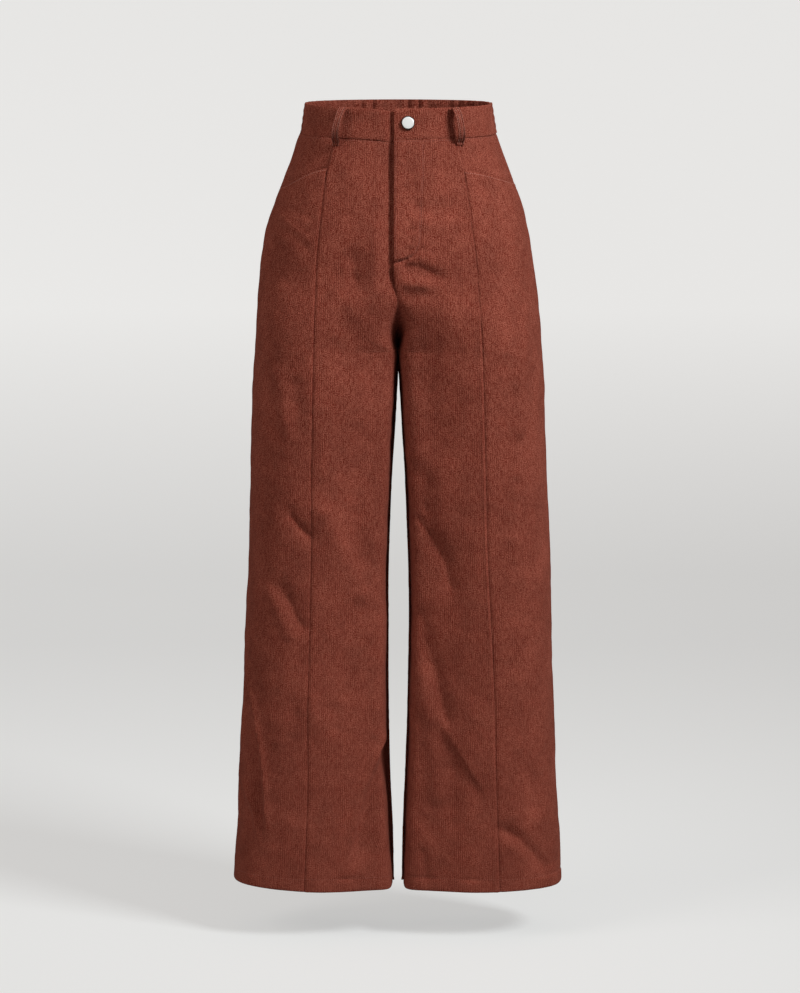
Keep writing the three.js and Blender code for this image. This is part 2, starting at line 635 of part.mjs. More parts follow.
function beltLoop(loop) {
  const THICK = 2.2;
  const middle = outwardOfBand(loop.side, loop.around);
  const sideways = new THREE.Vector3(-middle.y, middle.x, 0);
  const centres = LOOP_PATH.map(({ level, off }) => {
    const base = plainForm(loop.side, Math.min(level, BAND_TOP), loop.around);
    const along = (loop.lean * (BAND_TOP - level)) / (BAND_TOP - BAND_LOW);
    return base.addScaledVector(middle, off).addScaledVector(sideways, along);
  });
  const positions = [];
  const triangles = [];
  const corners = [
    [-0.5, -0.25], [-0.5, 0.25], [-0.42, 0.5], [0.42, 0.5],
    [0.5, 0.25], [0.5, -0.25], [0.42, -0.5], [-0.42, -0.5],
  ];
  centres.forEach((centre, i) => {
    const before = centres[Math.max(0, i - 1)];
    const after = centres[Math.min(centres.length - 1, i + 1)];
    const along = after.clone().sub(before).normalize();
    const thickness = sideways.clone().cross(along).normalize();
    for (const [u, v] of corners) {
      const p = centre.clone();
      p.addScaledVector(sideways, u * loop.width).addScaledVector(thickness, v * THICK);
      positions.push(p.x, p.y, p.z);
    }
  });
  const ring = corners.length;
  for (let i = 0; i < centres.length - 1; i += 1)
    for (let k = 0; k < ring; k += 1) {
      const a = i * ring + k;
      const b = i * ring + ((k + 1) % ring);
      triangles.push(a, b, a + ring, b, b + ring, a + ring);
    }
  const last = (centres.length - 1) * ring;
  for (let k = 1; k < ring - 1; k += 1) {
    triangles.push(0, k + 1, k);
    triangles.push(last, last + k, last + k + 1);
  }
  const geometry = new THREE.BufferGeometry();
  geometry.setAttribute("position", new THREE.Float32BufferAttribute(positions, 3));
  geometry.setIndex(triangles);
  geometry.computeVertexNormals();
  return meshOf(loop.name, geometry, CLOTH);
}

function outwardOfBand(side, around) {
  const step = 0.004;
  const ahead = plainForm(side, 0, around + step);
  const behind = plainForm(side, 0, around - step);
  return new THREE.Vector3(ahead.y - behind.y, behind.x - ahead.x, 0).normalize().multiplyScalar(side);
}

// The button: a shallow metal disc with a raised rim, on the lapped end of the band.
function button() {
  const RADIUS = 8.7;
  const profile = [
    [0, 0], [RADIUS - 1.2, 0], [RADIUS - 0.2, 0.5], [RADIUS, 1.3], [RADIUS - 0.5, 2.2],
    [RADIUS - 1.3, 2.6], [RADIUS - 2.2, 2.3], [4, 2.45], [0, 2.6],
  ].map(([r, h]) => new THREE.Vector2(r, h));
  const geometry = new THREE.LatheGeometry(profile, 36);
  const around = 0.0325;
  const outward = outwardOfBand(LEFT, around);
  const ABOVE_BAND = 0.6;
  const seat = plainForm(LEFT, 2.7, around).addScaledVector(outward, BAND_OUT + ABOVE_BAND);
  const tilted = outward.clone();
  tilted.z += 0.05;
  const turn = new THREE.Quaternion().setFromUnitVectors(new THREE.Vector3(0, 1, 0), tilted.normalize());
  geometry.applyQuaternion(turn);
  geometry.translate(seat.x, seat.y, seat.z);
  return meshOf("button", geometry, METAL);
}

const group = new THREE.Group();
for (const side of [LEFT, RIGHT]) {
  group.add(bandFront(side));
  group.add(frontCentre(side));
  group.add(frontSide(side));
  group.add(hipFacing(side));
  group.add(backPanel(side));
}
group.add(bandBack());
for (const loop of LOOPS) group.add(beltLoop(loop));
group.add(button());

export default group;
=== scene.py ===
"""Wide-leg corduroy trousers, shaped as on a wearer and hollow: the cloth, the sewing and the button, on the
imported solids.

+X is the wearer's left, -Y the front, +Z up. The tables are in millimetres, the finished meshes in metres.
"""
import math

import bmesh
import bpy
import numpy as np
from mathutils import Matrix, Vector


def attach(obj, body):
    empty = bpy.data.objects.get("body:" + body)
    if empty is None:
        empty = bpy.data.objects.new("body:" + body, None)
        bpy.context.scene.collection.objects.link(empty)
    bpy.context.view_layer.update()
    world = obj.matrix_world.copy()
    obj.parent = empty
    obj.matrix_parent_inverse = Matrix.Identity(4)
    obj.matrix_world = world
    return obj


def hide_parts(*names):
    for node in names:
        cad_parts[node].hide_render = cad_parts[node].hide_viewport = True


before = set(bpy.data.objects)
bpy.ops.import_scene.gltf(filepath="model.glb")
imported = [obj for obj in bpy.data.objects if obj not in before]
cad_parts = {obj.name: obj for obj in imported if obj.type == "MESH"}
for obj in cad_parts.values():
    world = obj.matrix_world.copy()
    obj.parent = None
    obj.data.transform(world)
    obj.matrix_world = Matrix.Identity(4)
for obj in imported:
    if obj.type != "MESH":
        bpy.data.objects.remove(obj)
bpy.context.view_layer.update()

MM = 0.001
RIGHT, LEFT = -1, 1
SIDE_NAME = {RIGHT: "right", LEFT: "left"}

# Camera: level with the waist, looking a little down, as the photograph was taken.
CAMERA_TARGET = Vector((0.0024, 0.0, -0.4855))
CAMERA_DISTANCE = 4.4
CAMERA_ELEVATION = math.radians(7.5)
SENSOR_WIDTH = 36.0
CAMERA_LENS = 121.77


def add_camera():
    data = bpy.data.cameras.new("camera")
    data.sensor_fit = "AUTO"
    data.sensor_width = SENSOR_WIDTH
    data.lens = CAMERA_LENS
    data.clip_end = 50.0
    camera = bpy.data.objects.new("camera", data)
    bpy.context.scene.collection.objects.link(camera)
    back = Vector((0.0, -math.cos(CAMERA_ELEVATION), math.sin(CAMERA_ELEVATION)))
    camera.location = CAMERA_TARGET + back * CAMERA_DISTANCE
    camera.rotation_mode = "QUATERNION"
    camera.rotation_quaternion = (-back).to_track_quat("-Z", "Y")
    bpy.context.scene.camera = camera


add_camera()

# The form

WALL = 1.8
BAND_WALL = 3.0
BAND_OUT = 1.0
# At a seam the edges pass each other by this much, so that no light shows through.
SEAM_LAP = 0.2
BAND_TOP = 21.0
BAND_LOW = -18.0
HIP = -186.0
CROTCH = -288.0
HEM = -1000.0

SECTION_COLUMNS = ("level", "right", "left", "inner_right", "inner_left", "front", "back")
SECTIONS = [dict(zip(SECTION_COLUMNS, row)) for row in (
    (22, 119.3, 119.6, 0.15, 0.15, 93, 95),
    (-1, 122.8, 122.6, 0.15, 0.15, 94.5, 96),
    (-17, 125.6, 125.4, 0.15, 0.15, 95.5, 97.5),
    (-31, 130.8, 130.5, 0.15, 0.15, 97, 100),
    (-53, 139.3, 139.9, 0.15, 0.15, 100, 105),
    (-80, 150.2, 150.8, 0.15, 0.15, 103.5, 111.5),
    (-100, 158.4, 158.9, 0.15, 0.15, 106, 117),
    (-131, 169.4, 167.6, 0.15, 0.15, 109, 123),
    (-163, 176, 173.2, 0.15, 0.15, 111, 126.5),
    (-200, 180.2, 178.4, 0.15, 0.15, 111, 127),
    (-240, 183.6, 183, 0.15, 0.15, 109.5, 126),
    (-288, 187, 187.5, 0.15, 0.15, 107, 122),
    (-326, 188.8, 189.8, 2.8, 3.4, 105, 118),
    (-392, 191.2, 192.7, 6.4, 7.4, 101, 111.5),
    (-458, 193.4, 195.5, 10.6, 11.4, 96.5, 106),
    (-524, 195.2, 198.3, 13.4, 14, 92, 101),
    (-590, 198, 200.7, 15.3, 16.2, 87.5, 96.5),
    (-657, 201.6, 202.6, 15.2, 16.6, 83, 92.5),
    (-724, 204.2, 204.6, 15.4, 15.5, 79, 89),
    (-791, 207.4, 206.5, 14.6, 14, 75.5, 86),
    (-859, 211.4, 209.5, 12.9, 11.5, 73, 83),
    (-926, 214.6, 213.7, 9.8, 8.8, 71, 80.5),
    (-1000, 217.8, 217.2, 8.2, 7.2, 70, 78),
)]

# The long front seam of each leg: its distance from the middle.
FRONT_SEAM = [dict(zip(("level", "right", "left"), row)) for row in (
    (-18, 79.5, 79.0),
    (-55, 90.2, 83.5),
    (-100, 96.6, 90.5),
    (-145, 101.7, 96.3),
    (-195, 105.0, 101.5),
    (-296, 108.0, 107.9),
    (-451, 111.5, 112.5),
    (-556, 112.2, 115.6),
    (-690, 115.8, 122.9),
    (-768, 118.4, 125.8),
    (-850, 118.0, 128.0),
    (-1000, 123.3, 133.4),
)]

# The pocket mouth, from the front seam (across 0) to the side seam (across 1).
MOUTH = [dict(zip(("across", "right", "left"), row)) for row in (
    (0, -55.5, -58.8),
    (0.15, -60.5, -61.8),
    (0.35, -70.5, -68.5),
    (0.6, -80.0, -74.8),
    (1, -84.0, -80.2),
)]

# Folds and hollows: a line down one face of one leg, its half width, its height (minus
# for a trough), and for a turned edge the side that drops away, 1 for +X or -1 for -X.
FOLD_COLUMNS = ("leg", "face", "line", "width", "height", "drop")
FOLDS = [dict(zip(FOLD_COLUMNS, row)) for row in (
    # The wearer's right leg, front, from the hip to the hem.
    (RIGHT, "front", ((-57, -172), (-57, -200)), 14, -4.4, 0),
    (RIGHT, "front", ((-57, -230), (-26, -275)), 15, 2.9, 0),
    (RIGHT, "front", ((-155, -318), (-148, -356), (-137, -396)), 10, 2.7, 0),
    (RIGHT, "front", ((-130, -330), (-128, -390)), 10, -2.4, 0),
    (RIGHT, "front", ((-94, -496), (-82, -527), (-71, -546), (-49, -602)), 13, 3.9, 0),
    (RIGHT, "front", ((-54, -500), (-46, -556)), 14, -2.7, 0),
    (RIGHT, "front", ((-140, -496), (-127, -513), (-114, -526)), 10, -2.7, 0),
    (RIGHT, "front", ((-147, -600), (-138, -622), (-124, -644)), 11, -2.9, 0),
    (RIGHT, "front", ((-164, -602), (-154, -626), (-142, -656)), 9, 2.4, 0),
    (RIGHT, "front", ((-198, -714), (-189, -759), (-180, -812), (-176, -857), (-175, -898)), 10, -9.4, -1),
    (RIGHT, "front", ((-209, -862), (-198, -889), (-191, -912)), 9, -4.9, -1),
    (RIGHT, "front", ((-157, -774), (-157, -792)), 14, 2.7, 0),
    (RIGHT, "front", ((-22, -812), (-46, -866), (-56, -907), (-62, -938)), 11, -7.2, 1),
    # The wearer's left leg, front.
    (LEFT, "front", ((4, -178), (25, -180), (51, -190)), 9, -3.6, 0),
    (LEFT, "front", ((4, -214), (42, -215)), 9, -2.2, 0),
    (LEFT, "front", ((15, -270), (19, -330), (27, -420)), 13, 4.1, 0),
    (LEFT, "front", ((53, -440), (60, -515)), 14, 2.4, 0),
    (LEFT, "front", ((44, -530), (62, -564), (67, -594)), 13, -3.1, 0),
    (LEFT, "front", ((28, -634), (44, -697), (53, -730), (62, -770)), 11, -3.6, 0),
    (LEFT, "front", ((34, -712), (44, -789), (54, -871)), 13, 4.1, 0),
    (LEFT, "front", ((60, -782), (89, -831), (106, -856)), 11, -2.8, -1),
    (LEFT, "front", ((69, -836), (71, -906)), 12, -3.4, 0),
    (LEFT, "front", ((179, -856), (180, -884)), 11, -2.6, 0),
    (LEFT, "front", ((136, -915), (161, -930), (194, -970)), 9, -4.3, 0),
    # The backs: what such trousers do under the seat and behind the knees.
    (RIGHT, "back", ((-30, -322), (-135, -290)), 17, -5.0, 0),
    (LEFT, "back", ((36, -334), (128, -306)), 18, -5.0, 0),
    (RIGHT, "back", ((-26, -352), (-96, -330)), 12, -2.4, 0),
    (LEFT, "back", ((24, -362), (88, -346)), 12, -2.4, 0),
    (RIGHT, "back", ((-60, -500), (-138, -548)), 15, -4.0, 0),
    (LEFT, "back", ((70, -545), (150, -505)), 16, -4.0, 0),
    (RIGHT, "back", ((-150, -606), (-80, -660)), 14, -3.6, 0),
    (LEFT, "back", ((60, -640), (140, -700)), 16, -4.0, 0),
    (RIGHT, "back", ((-70, -770), (-96, -940)), 17, -4.6, 0),
    (LEFT, "back", ((150, -790), (128, -950)), 17, -4.6, 0),
    (RIGHT, "back", ((-160, -700), (-168, -880)), 15, -3.2, 0),
    (LEFT, "back", ((62, -800), (58, -950)), 14, -3.0, 0),
)]

# Creases too fine for the solids, in the same columns.
CREASES = [dict(zip(FOLD_COLUMNS, row)) for row in (
    (RIGHT, "front", ((-57, -176), (-56, -194)), 6, -1.4, 0),
    (RIGHT, "front", ((-29, -131), (-28, -208)), 8, 1.8, 0),
    (RIGHT, "front", ((-159, -102), (-111, -117)), 4.5, -1.0, 0),
    (RIGHT, "front", ((-152, -116), (-110, -146)), 4.5, 1.0, 0),
    (RIGHT, "front", ((-160, -124), (-112, -160)), 5, -0.8, 0),
    (RIGHT, "front", ((-75, -362), (-73, -442)), 9, -1.6, 0),
    (RIGHT, "front", ((-97, -410), (-97, -446)), 8, 1.4, 0),
    (RIGHT, "front", ((-49, -326), (-49, -372)), 10, 1.9, 0),
    (RIGHT, "front", ((-58, -436), (-57, -472)), 11, -1.8, 0),
    (RIGHT, "front", ((-137, -500), (-127, -513), (-116, -524)), 3.6, -2.4, 0),
    (RIGHT, "front", ((-142, -608), (-136, -624), (-126, -642)), 4, -1.6, 0),
    (RIGHT, "front", ((-133, -822), (-133, -828)), 6, 1.1, 0),
    (RIGHT, "front", ((-112, -738), (-106, -778)), 8, 1.7, 0),
    (RIGHT, "front", ((-134, -748), (-133, -760)), 8, -1.6, 0),
    (RIGHT, "front", ((-81, -754), (-81, -778)), 9, -1.8, 0),
    (RIGHT, "front", ((-27, -758), (-31, -790)), 4.5, 1.4, 0),
    (RIGHT, "front", ((-200, -716), (-190, -762), (-181, -815), (-176, -872)), 4.5, 1.3, 0),
    (RIGHT, "front", ((-207, -868), (-198, -892), (-192, -914)), 4, 1.0, 0),
    (RIGHT, "front", ((-24, -820), (-44, -862), (-54, -905), (-60, -936)), 5, 1.3, 0),
    (LEFT, "front", ((6, -184), (24, -187), (42, -193)), 5, -2.2, 0),
    (LEFT, "front", ((3, -177), (25, -178), (46, -187)), 4, -1.8, 0),
    (LEFT, "front", ((4, -199), (34, -202)), 6, 2.4, 0),
    (LEFT, "front", ((38, -126), (85, -124)), 8, 1.4, 0),
    (LEFT, "front", ((25, -105), (70, -103)), 9, -1.6, 0),
    (LEFT, "front", ((102, -70), (137, -102)), 9, -1.7, 0),
    (LEFT, "front", ((163, -236), (162, -286), (159, -344), (155, -392)), 6, 1.7, 0),
    (LEFT, "front", ((138, -296), (138, -304)), 6, -1.2, 0),
    (LEFT, "front", ((148, -335), (148, -343)), 5, -1.1, 0),
    (LEFT, "front", ((152, -454), (155, -460)), 4.5, -1.6, 0),
    (LEFT, "front", ((26, -505), (46, -532), (62, -564), (66, -591)), 4.2, -2.0, 0),
    (LEFT, "front", ((35, -487), (36, -493)), 3.5, -1.4, 0),
    (LEFT, "front", ((152, -530), (150, -554)), 9, 1.6, 0),
    (LEFT, "front", ((44, -697), (53, -730), (62, -768)), 4.5, -1.2, 0),
    (LEFT, "front", ((74, -812), (88, -834), (98, -850)), 4.5, -0.9, 0),
    (LEFT, "front", ((158, -796), (158, -806)), 7, 1.4, 0),
    (LEFT, "front", ((150, -878), (151, -894)), 7, 1.4, 0),
    (LEFT, "front", ((98, -950), (98, -962)), 8, 1.2, 0),
    (LEFT, "front", ((142, -920), (161, -931), (188, -962)), 6, -1.2, 0),
    (LEFT, "front", ((146, -938), (170, -956)), 8, 0.5, 0),
    (LEFT, "front", ((32, -950), (36, -984)), 7, -3.0, 0),
)]

GATHERS = {"count": 11, "height": 2.1, "fade_end": -96}
BACK_LOOP_AROUND = 0.82
FLY = {"overlap": 5.2, "underlap": 12, "step": 2.6, "band_step": 3.4, "sag": 3}


def smooth(low, high, value):
    u = np.clip((np.asarray(value, float) - low) / (high - low), 0, 1)
    return u * u * (3 - 2 * u)


def column(table, name, at, key="level"):
    """A smooth curve through one named column of a table."""
    places = np.array([row[key] for row in table], float)
    values = np.array([row[name] for row in table], float)
    at = np.asarray(at, float)
    if places[0] > places[-1]:
        places, at = -places, -at
    slopes = np.empty(len(values))
    slopes[1:-1] = (values[2:] - values[:-2]) / (places[2:] - places[:-2])
    slopes[0] = (values[1] - values[0]) / (places[1] - places[0])
    slopes[-1] = (values[-1] - values[-2]) / (places[-1] - places[-2])
    row = np.clip(np.searchsorted(places, at, side="right") - 1, 0, len(places) - 2)
    span = places[row + 1] - places[row]
    u = np.clip((at - places[row]) / span, 0, 1)
    rise = values[row + 1] - values[row]
    curve = values[row] + rise * (3 * u**2 - 2 * u**3)
    curve = curve + span * slopes[row] * (u**3 - 2 * u**2 + u)
    curve = curve + span * slopes[row + 1] * (u**3 - u**2)
    return curve + slopes[0] * np.minimum(at - places[0], 0)


def loop_of(side, level):
    """One half's rounded loop at a level: cut off at the middle above the hip, closed as a leg below."""
    level = np.asarray(level, float)
    width = column(SECTIONS, SIDE_NAME[side], level)
    inner = np.where(level > CROTCH, -SEAM_LAP / 2, column(SECTIONS, "inner_" + SIDE_NAME[side], level))
    share = np.clip((level - CROTCH) / (HIP - CROTCH), 0, 1)
    closed = 1 - smooth(0, 1, share)
    centre = inner + (width - inner) * closed / (1 + closed)
    half_turn = np.arccos(-closed)
    return centre, width - centre, half_turn, closed


def form_at_angle(side, level, angle):
    """The plain form of one half at an angle from its side, minus toward the front."""
    middle_y, fuller, inner_wide, inner_deep = 4, 0.05, 0.11, 0.45
    level, angle = np.broadcast_arrays(np.asarray(level, float), np.asarray(angle, float))
    centre, half_width, half_turn, as_leg = loop_of(side, level)
    around = 0.5 + 0.5 * angle / half_turn
    quarter = math.pi / 2
    turn = np.abs(angle)
    inward = (turn - quarter) / np.maximum(half_turn - quarter, 0.01)
    outside = 1 + fuller * np.sin(2 * turn) ** 2
    wide = np.where(turn > quarter, 1 + inner_wide * as_leg * np.sin(math.pi * inward) ** 2, outside)
    square = inner_deep * np.sqrt(as_leg) * np.sin(math.pi * np.clip(inward, 0, 1) ** 1.6) ** 2
    deep = np.abs(np.sin(angle))
    deep = np.where(turn > quarter, deep + (1 - deep) * square, deep * outside)
    reach = np.where(
        angle < 0,
        column(SECTIONS, "front", level) + middle_y,
        column(SECTIONS, "back", level) - middle_y,
    )
    x = side * (centre + half_width * np.cos(angle) * wide)
    y = middle_y + reach * np.sign(angle) * deep
    back_rise = 4.5 * (1 - np.cos(math.pi * np.abs(around) ** 0.8))
    z = level + back_rise * np.clip((level + 130) / 110, 0, 1)
    if side == RIGHT:
        sag = FLY["sag"] * np.exp(-((x / 30) ** 2)) * smooth(-80, -30, level)
        z = z - np.where(angle < 0, sag, 0)
    outer_lift = 5 if side == RIGHT else 2
    z = z + outer_lift * smooth(-0.2, 1, np.cos(angle)) * smooth(-900, HEM, level)
    return np.stack([x, y, z], axis=-1)


def angle_at(side, level, around):
    return (2 * np.asarray(around, float) - 1) * loop_of(side, level)[2]


def plain_form(side, level, around):
    return form_at_angle(side, level, angle_at(side, level, around))


def fold_height(fold, x, z):
    """How far one fold lifts the cloth at each point of its face."""
    line = np.array(fold["line"], float)
    near = 3.2 * fold["width"]
    height = np.zeros_like(x)
    close = (x > line[:, 0].min() - near) & (x < line[:, 0].max() + near)
    close &= (z > line[:, 1].min() - near) & (z < line[:, 1].max() + near)
    if not close.any():
        return height
    px, pz = x[close], z[close]
    best = np.full(px.shape, np.inf)
    across = np.zeros_like(px)
    beyond = np.zeros_like(px)
    for index, (start, end) in enumerate(zip(line[:-1], line[1:])):
        along = end - start
        length = math.hypot(*along)
        s = ((px - start[0]) * along[0] + (pz - start[1]) * along[1]) / length
        sideways = ((px - start[0]) * along[1] - (pz - start[1]) * along[0]) / length
        short = np.maximum(-s, 0)
        over = np.maximum(s - length, 0)
        distance = np.hypot(sideways, short + over)
        nearer = distance < best
        best = np.where(nearer, distance, best)
        across = np.where(nearer, sideways * np.sign(along[1] or 1), across)
        first, last = index == 0, index == len(line) - 2
        beyond = np.where(nearer, short * first + over * last, beyond)
    if fold["drop"] == 0:
        height[close] = fold["height"] * np.exp(-((best / fold["width"]) ** 2))
        return height
    outward = across * fold["drop"] / fold["width"]
    trough = np.maximum(outward, 0) * np.exp(1 - np.maximum(outward, 0))
    crest = 0.28 * np.exp(-((outward / 0.55) ** 2))
    ends = np.exp(-((beyond / (1.6 * fold["width"])) ** 2))
    height[close] = fold["height"] * (trough - crest) * ends
    return height


def gather_height(side, level, around):
    """The gathers of the elastic back waist, uneven from one to the next."""
    share = np.clip((around - 0.5) / 0.5, 0, 1)
    drift = 0.3 if side == RIGHT else 1.9
    turns = GATHERS["count"] * share
    turns = turns + 0.32 * np.sin(2 * math.pi * (2.3 * share + drift))
    turns = turns + 0.14 * np.sin(2 * math.pi * (5.1 * share + 2 * drift))
    ends = smooth(0, 0.07, share) * smooth(0, 0.05, 1 - share)
    size = 0.8 + 0.3 * np.sin(2 * math.pi * (3.7 * share + drift))
    flat_under_loop = 1 - 0.9 * np.exp(-(((around - BACK_LOOP_AROUND) / 0.03) ** 2))
    fade = smooth(GATHERS["fade_end"], BAND_LOW - 4, level)
    return GATHERS["height"] * fade * np.sin(2 * math.pi * turns) * ends * size * flat_under_loop


def soft_noise(u, v, size_u, size_v, seed):
    """Smooth uneven heights from -1 to 1, with lumps of about the given sizes."""
    lattice = np.random.RandomState(seed).uniform(-1, 1, (64, 64))
    a, b = np.asarray(u) / size_u, np.asarray(v) / size_v
    i, j = np.floor(a).astype(int), np.floor(b).astype(int)
    fa, fb = a - i, b - j
    fa, fb = fa * fa * (3 - 2 * fa), fb * fb * (3 - 2 * fb)
    corner = lambda di, dj: lattice[(i + di) % 64, (j + dj) % 64]
    low = corner(0, 0) * (1 - fa) + corner(1, 0) * fa
    high = corner(0, 1) * (1 - fa) + corner(1, 1) * fa
    return low * (1 - fb) + high * fb


def form(side, level, around):
    """The form with its folds and gathers, as rows of points."""
    level, around = np.broadcast_arrays(np.asarray(level, float), np.asarray(around, float))
    angle = angle_at(side, level, around)
    point = form_at_angle(side, level, angle)
    x, z = point[..., 0], point[..., 2]
    height = np.zeros_like(x)
    for fold in FOLDS + CREASES:
        if fold["leg"] != side:
            continue
        on_face = angle < 0 if fold["face"] == "front" else angle >= 0
        height += np.where(on_face, fold_height(fold, x, z), 0)
    from_inner = np.minimum(around, 1 - around)
    fade = np.where(level > CROTCH - 60, 0.02 + 0.04 * smooth(-225, -250, level), 0.03)
    height = height * smooth(0, 1, from_inner / fade)
    height = height * smooth(0, 0.05, np.abs(around - 0.5))
    height = height + np.where(around > 0.5, gather_height(side, level, around), 0)
    ahead = form_at_angle(side, level, angle + 0.01)
    behind = form_at_angle(side, level, angle - 0.01)
    outward = np.stack(
        [ahead[..., 1] - behind[..., 1], behind[..., 0] - ahead[..., 0], np.zeros_like(x)], axis=-1
    )
    outward /= np.linalg.norm(outward, axis=-1, keepdims=True)
    return point + outward * (height * side)[..., None]


def around_at_x(side, level, x):
    """The place on the front half of a row where the form stands at a distance x."""
    low = np.zeros_like(np.asarray(level, float))
    high = low + 0.5
    for _ in range(30):
        middle = (low + high) / 2
        short = np.abs(plain_form(side, level, middle)[..., 0]) < x
        low, high = np.where(short, middle, low), np.where(short, high, middle)
    return (low + high) / 2


def share_of(side, level, around, length):
    """A length along a row, as a share of the way around."""
    step = 0.002
    ahead = plain_form(side, level, around + step)
    behind = plain_form(side, level, around - step)
    return length * 2 * step / np.linalg.norm(ahead - behind, axis=-1)


def beside_front_seam(side, level, beside):
    seam = around_at_x(side, level, column(FRONT_SEAM, SIDE_NAME[side], level))
    return seam + share_of(side, level, seam, beside)


def beside_side_seam(side, level, beside):
    return 0.5 + share_of(side, level, 0.5, beside)


def front_start(side, level):
    """Where a front panel starts: past the middle at the closing, on the middle, then on the inseam."""
    share = share_of(side, level, 0, 1)
    seam = share * FLY["overlap"] * smooth(-238, -182, level)
    under = smooth(-184, -168, level)
    lapped = -seam if side == LEFT else seam * (1 - under) - share * FLY["underlap"] * under
    on_leg = share_of(side, level, 0, -SEAM_LAP / 2)
    return np.where(np.asarray(level) > CROTCH, lapped, on_leg)


def back_end(side, level):
    on_leg = 1 - share_of(side, level, 1, -SEAM_LAP / 2)
    return np.where(np.asarray(level) > CROTCH, 1, on_leg)


# Cloth pieces

class Panel:
    """One piece of cloth laid on the form, kept as rows of points so that sewing can find its place on it."""

    def __init__(self, side, level, around):
        self.side = side
        self.level, self.around = np.broadcast_arrays(level, around)
        self.points = form(side, self.level, self.around)
        self.measure()

    def measure(self):
        steps = np.linalg.norm(np.diff(self.points, axis=1), axis=-1)
        self.from_start = np.concatenate([np.zeros((len(steps), 1)), np.cumsum(steps, axis=1)], axis=1)
        self.from_end = self.from_start[:, -1:] - self.from_start
        sideways = np.gradient(self.points, axis=1)
        upward = -np.gradient(self.points, axis=0)
        outward = np.cross(sideways, upward) * self.side
        self.outward = outward / np.linalg.norm(outward, axis=-1, keepdims=True)
        self.grain = self.from_start - self.from_start[:, -1:] / 2

    def run_grain_down(self, x_line):
        """Measures each row from an upright line on the cloth, so that the wales run straight down."""
        x = self.side * self.points[..., 0]
        for row in range(len(x)):
            order = np.argsort(x[row])
            self.grain[row] = self.from_start[row] - np.interp(x_line, x[row][order], self.from_start[row][order])

    def move(self, height):
        """Moves the cloth in or out; beside the middle seam above the crotch it only moves front to back."""
        shift = self.outward * height[..., None]
        x = np.abs(self.points[..., 0])
        shift[..., 0] *= np.where(self.level > CROTCH - 4, smooth(0.3, 9, x), 1)
        self.points = self.points + shift

    def find(self, level, around):
        """Points on the cloth and their outward directions, for sewing."""
        rows, columns = self.level.shape
        points, outward = [], []
        for one_level, one_around in zip(np.atleast_1d(level), np.atleast_1d(around)):
            near = np.abs(self.level - one_level) / 4 + np.abs(self.around - one_around) * 400
            j, i = np.unravel_index(np.argmin(near), near.shape)
            j, i = min(max(j, 1), rows - 2), min(max(i, 1), columns - 2)
            down = (one_level - self.level[j, i]) / (self.level[j + 1, i] - self.level[j, i])
            across = (one_around - self.around[j, i]) / (self.around[j, i + 1] - self.around[j, i])
            down, across = float(np.clip(down, -1, 1)), float(np.clip(across, -1, 1))
            here = self.points[j, i]
            spot = here + (self.points[j + (1 if down > 0 else -1), i] - here) * abs(down)
            spot = spot + (self.points[j, i + (1 if across > 0 else -1)] - here) * abs(across)
            points.append(spot)
            outward.append(self.outward[j, i])
        return np.array(points), np.array(outward)


def new_object(name, mesh):
    thing = bpy.data.objects.new(name, mesh)
    bpy.context.scene.collection.objects.link(thing)
    return thing


def finish_mesh(thing, sharp_degrees=50):
    """Applies the piece's modifiers and shades it smooth up to its sharp edges."""
    graph = bpy.context.evaluated_depsgraph_get()
    mesh = bpy.data.meshes.new_from_object(thing.evaluated_get(graph))
    thing.modifiers.clear()
    old = thing.data
    thing.data = mesh
    bpy.data.meshes.remove(old)
    mesh.name = thing.name
    mesh.polygons.foreach_set("use_smooth", np.ones(len(mesh.polygons), bool))
    mesh.set_sharp_from_angle(angle=math.radians(sharp_degrees))


def cloth_object(name, panel, wall, outside, inside, edge_round=0.5):
    """A flat grid moved onto the panel's points and given the cloth's thickness."""
    rows, columns = panel.level.shape
    flat = bmesh.new()
    bmesh.ops.create_grid(flat, x_segments=columns - 1, y_segments=rows - 1, size=0.5)
    if panel.side == RIGHT:
        bmesh.ops.reverse_faces(flat, faces=flat.faces)
    mesh = bpy.data.meshes.new(name)
    flat.to_mesh(mesh)
    flat.free()
    spots = np.empty(len(mesh.vertices) * 3, np.float32)
    mesh.vertices.foreach_get("co", spots)
    spots = spots.reshape(-1, 3)
    low, high = spots.min(axis=0), spots.max(axis=0)
    i = np.rint((spots[:, 0] - low[0]) / (high[0] - low[0]) * (columns - 1)).astype(int)
    j = np.rint((high[1] - spots[:, 1]) / (high[1] - low[1]) * (rows - 1)).astype(int)
    mesh.vertices.foreach_set("co", (panel.points[j, i] * MM).astype(np.float32).ravel())
    grain = mesh.uv_layers.new(name="grain")
    corner = np.empty(len(mesh.loops), np.int32)
    mesh.loops.foreach_get("vertex_index", corner)
    uv = np.stack([panel.grain[j, i], panel.level[j, i]], axis=-1) * MM
    grain.data.foreach_set("uv", uv[corner].astype(np.float32).ravel())
    mesh.materials.append(outside)
    mesh.materials.append(inside)
    mesh.update()
    thing = new_object(name, mesh)
    solid = thing.modifiers.new("cloth thickness", "SOLIDIFY")
    solid.thickness = wall * MM
    solid.offset = -1
    solid.material_offset = 1
    solid.material_offset_rim = 0
    rounded = thing.modifiers.new("cut edge", "BEVEL")
    rounded.width = edge_round * MM
    rounded.segments = 2
    rounded.limit_method = "ANGLE"
    rounded.angle_limit = math.radians(55)
    finish_mesh(thing)
    return thing


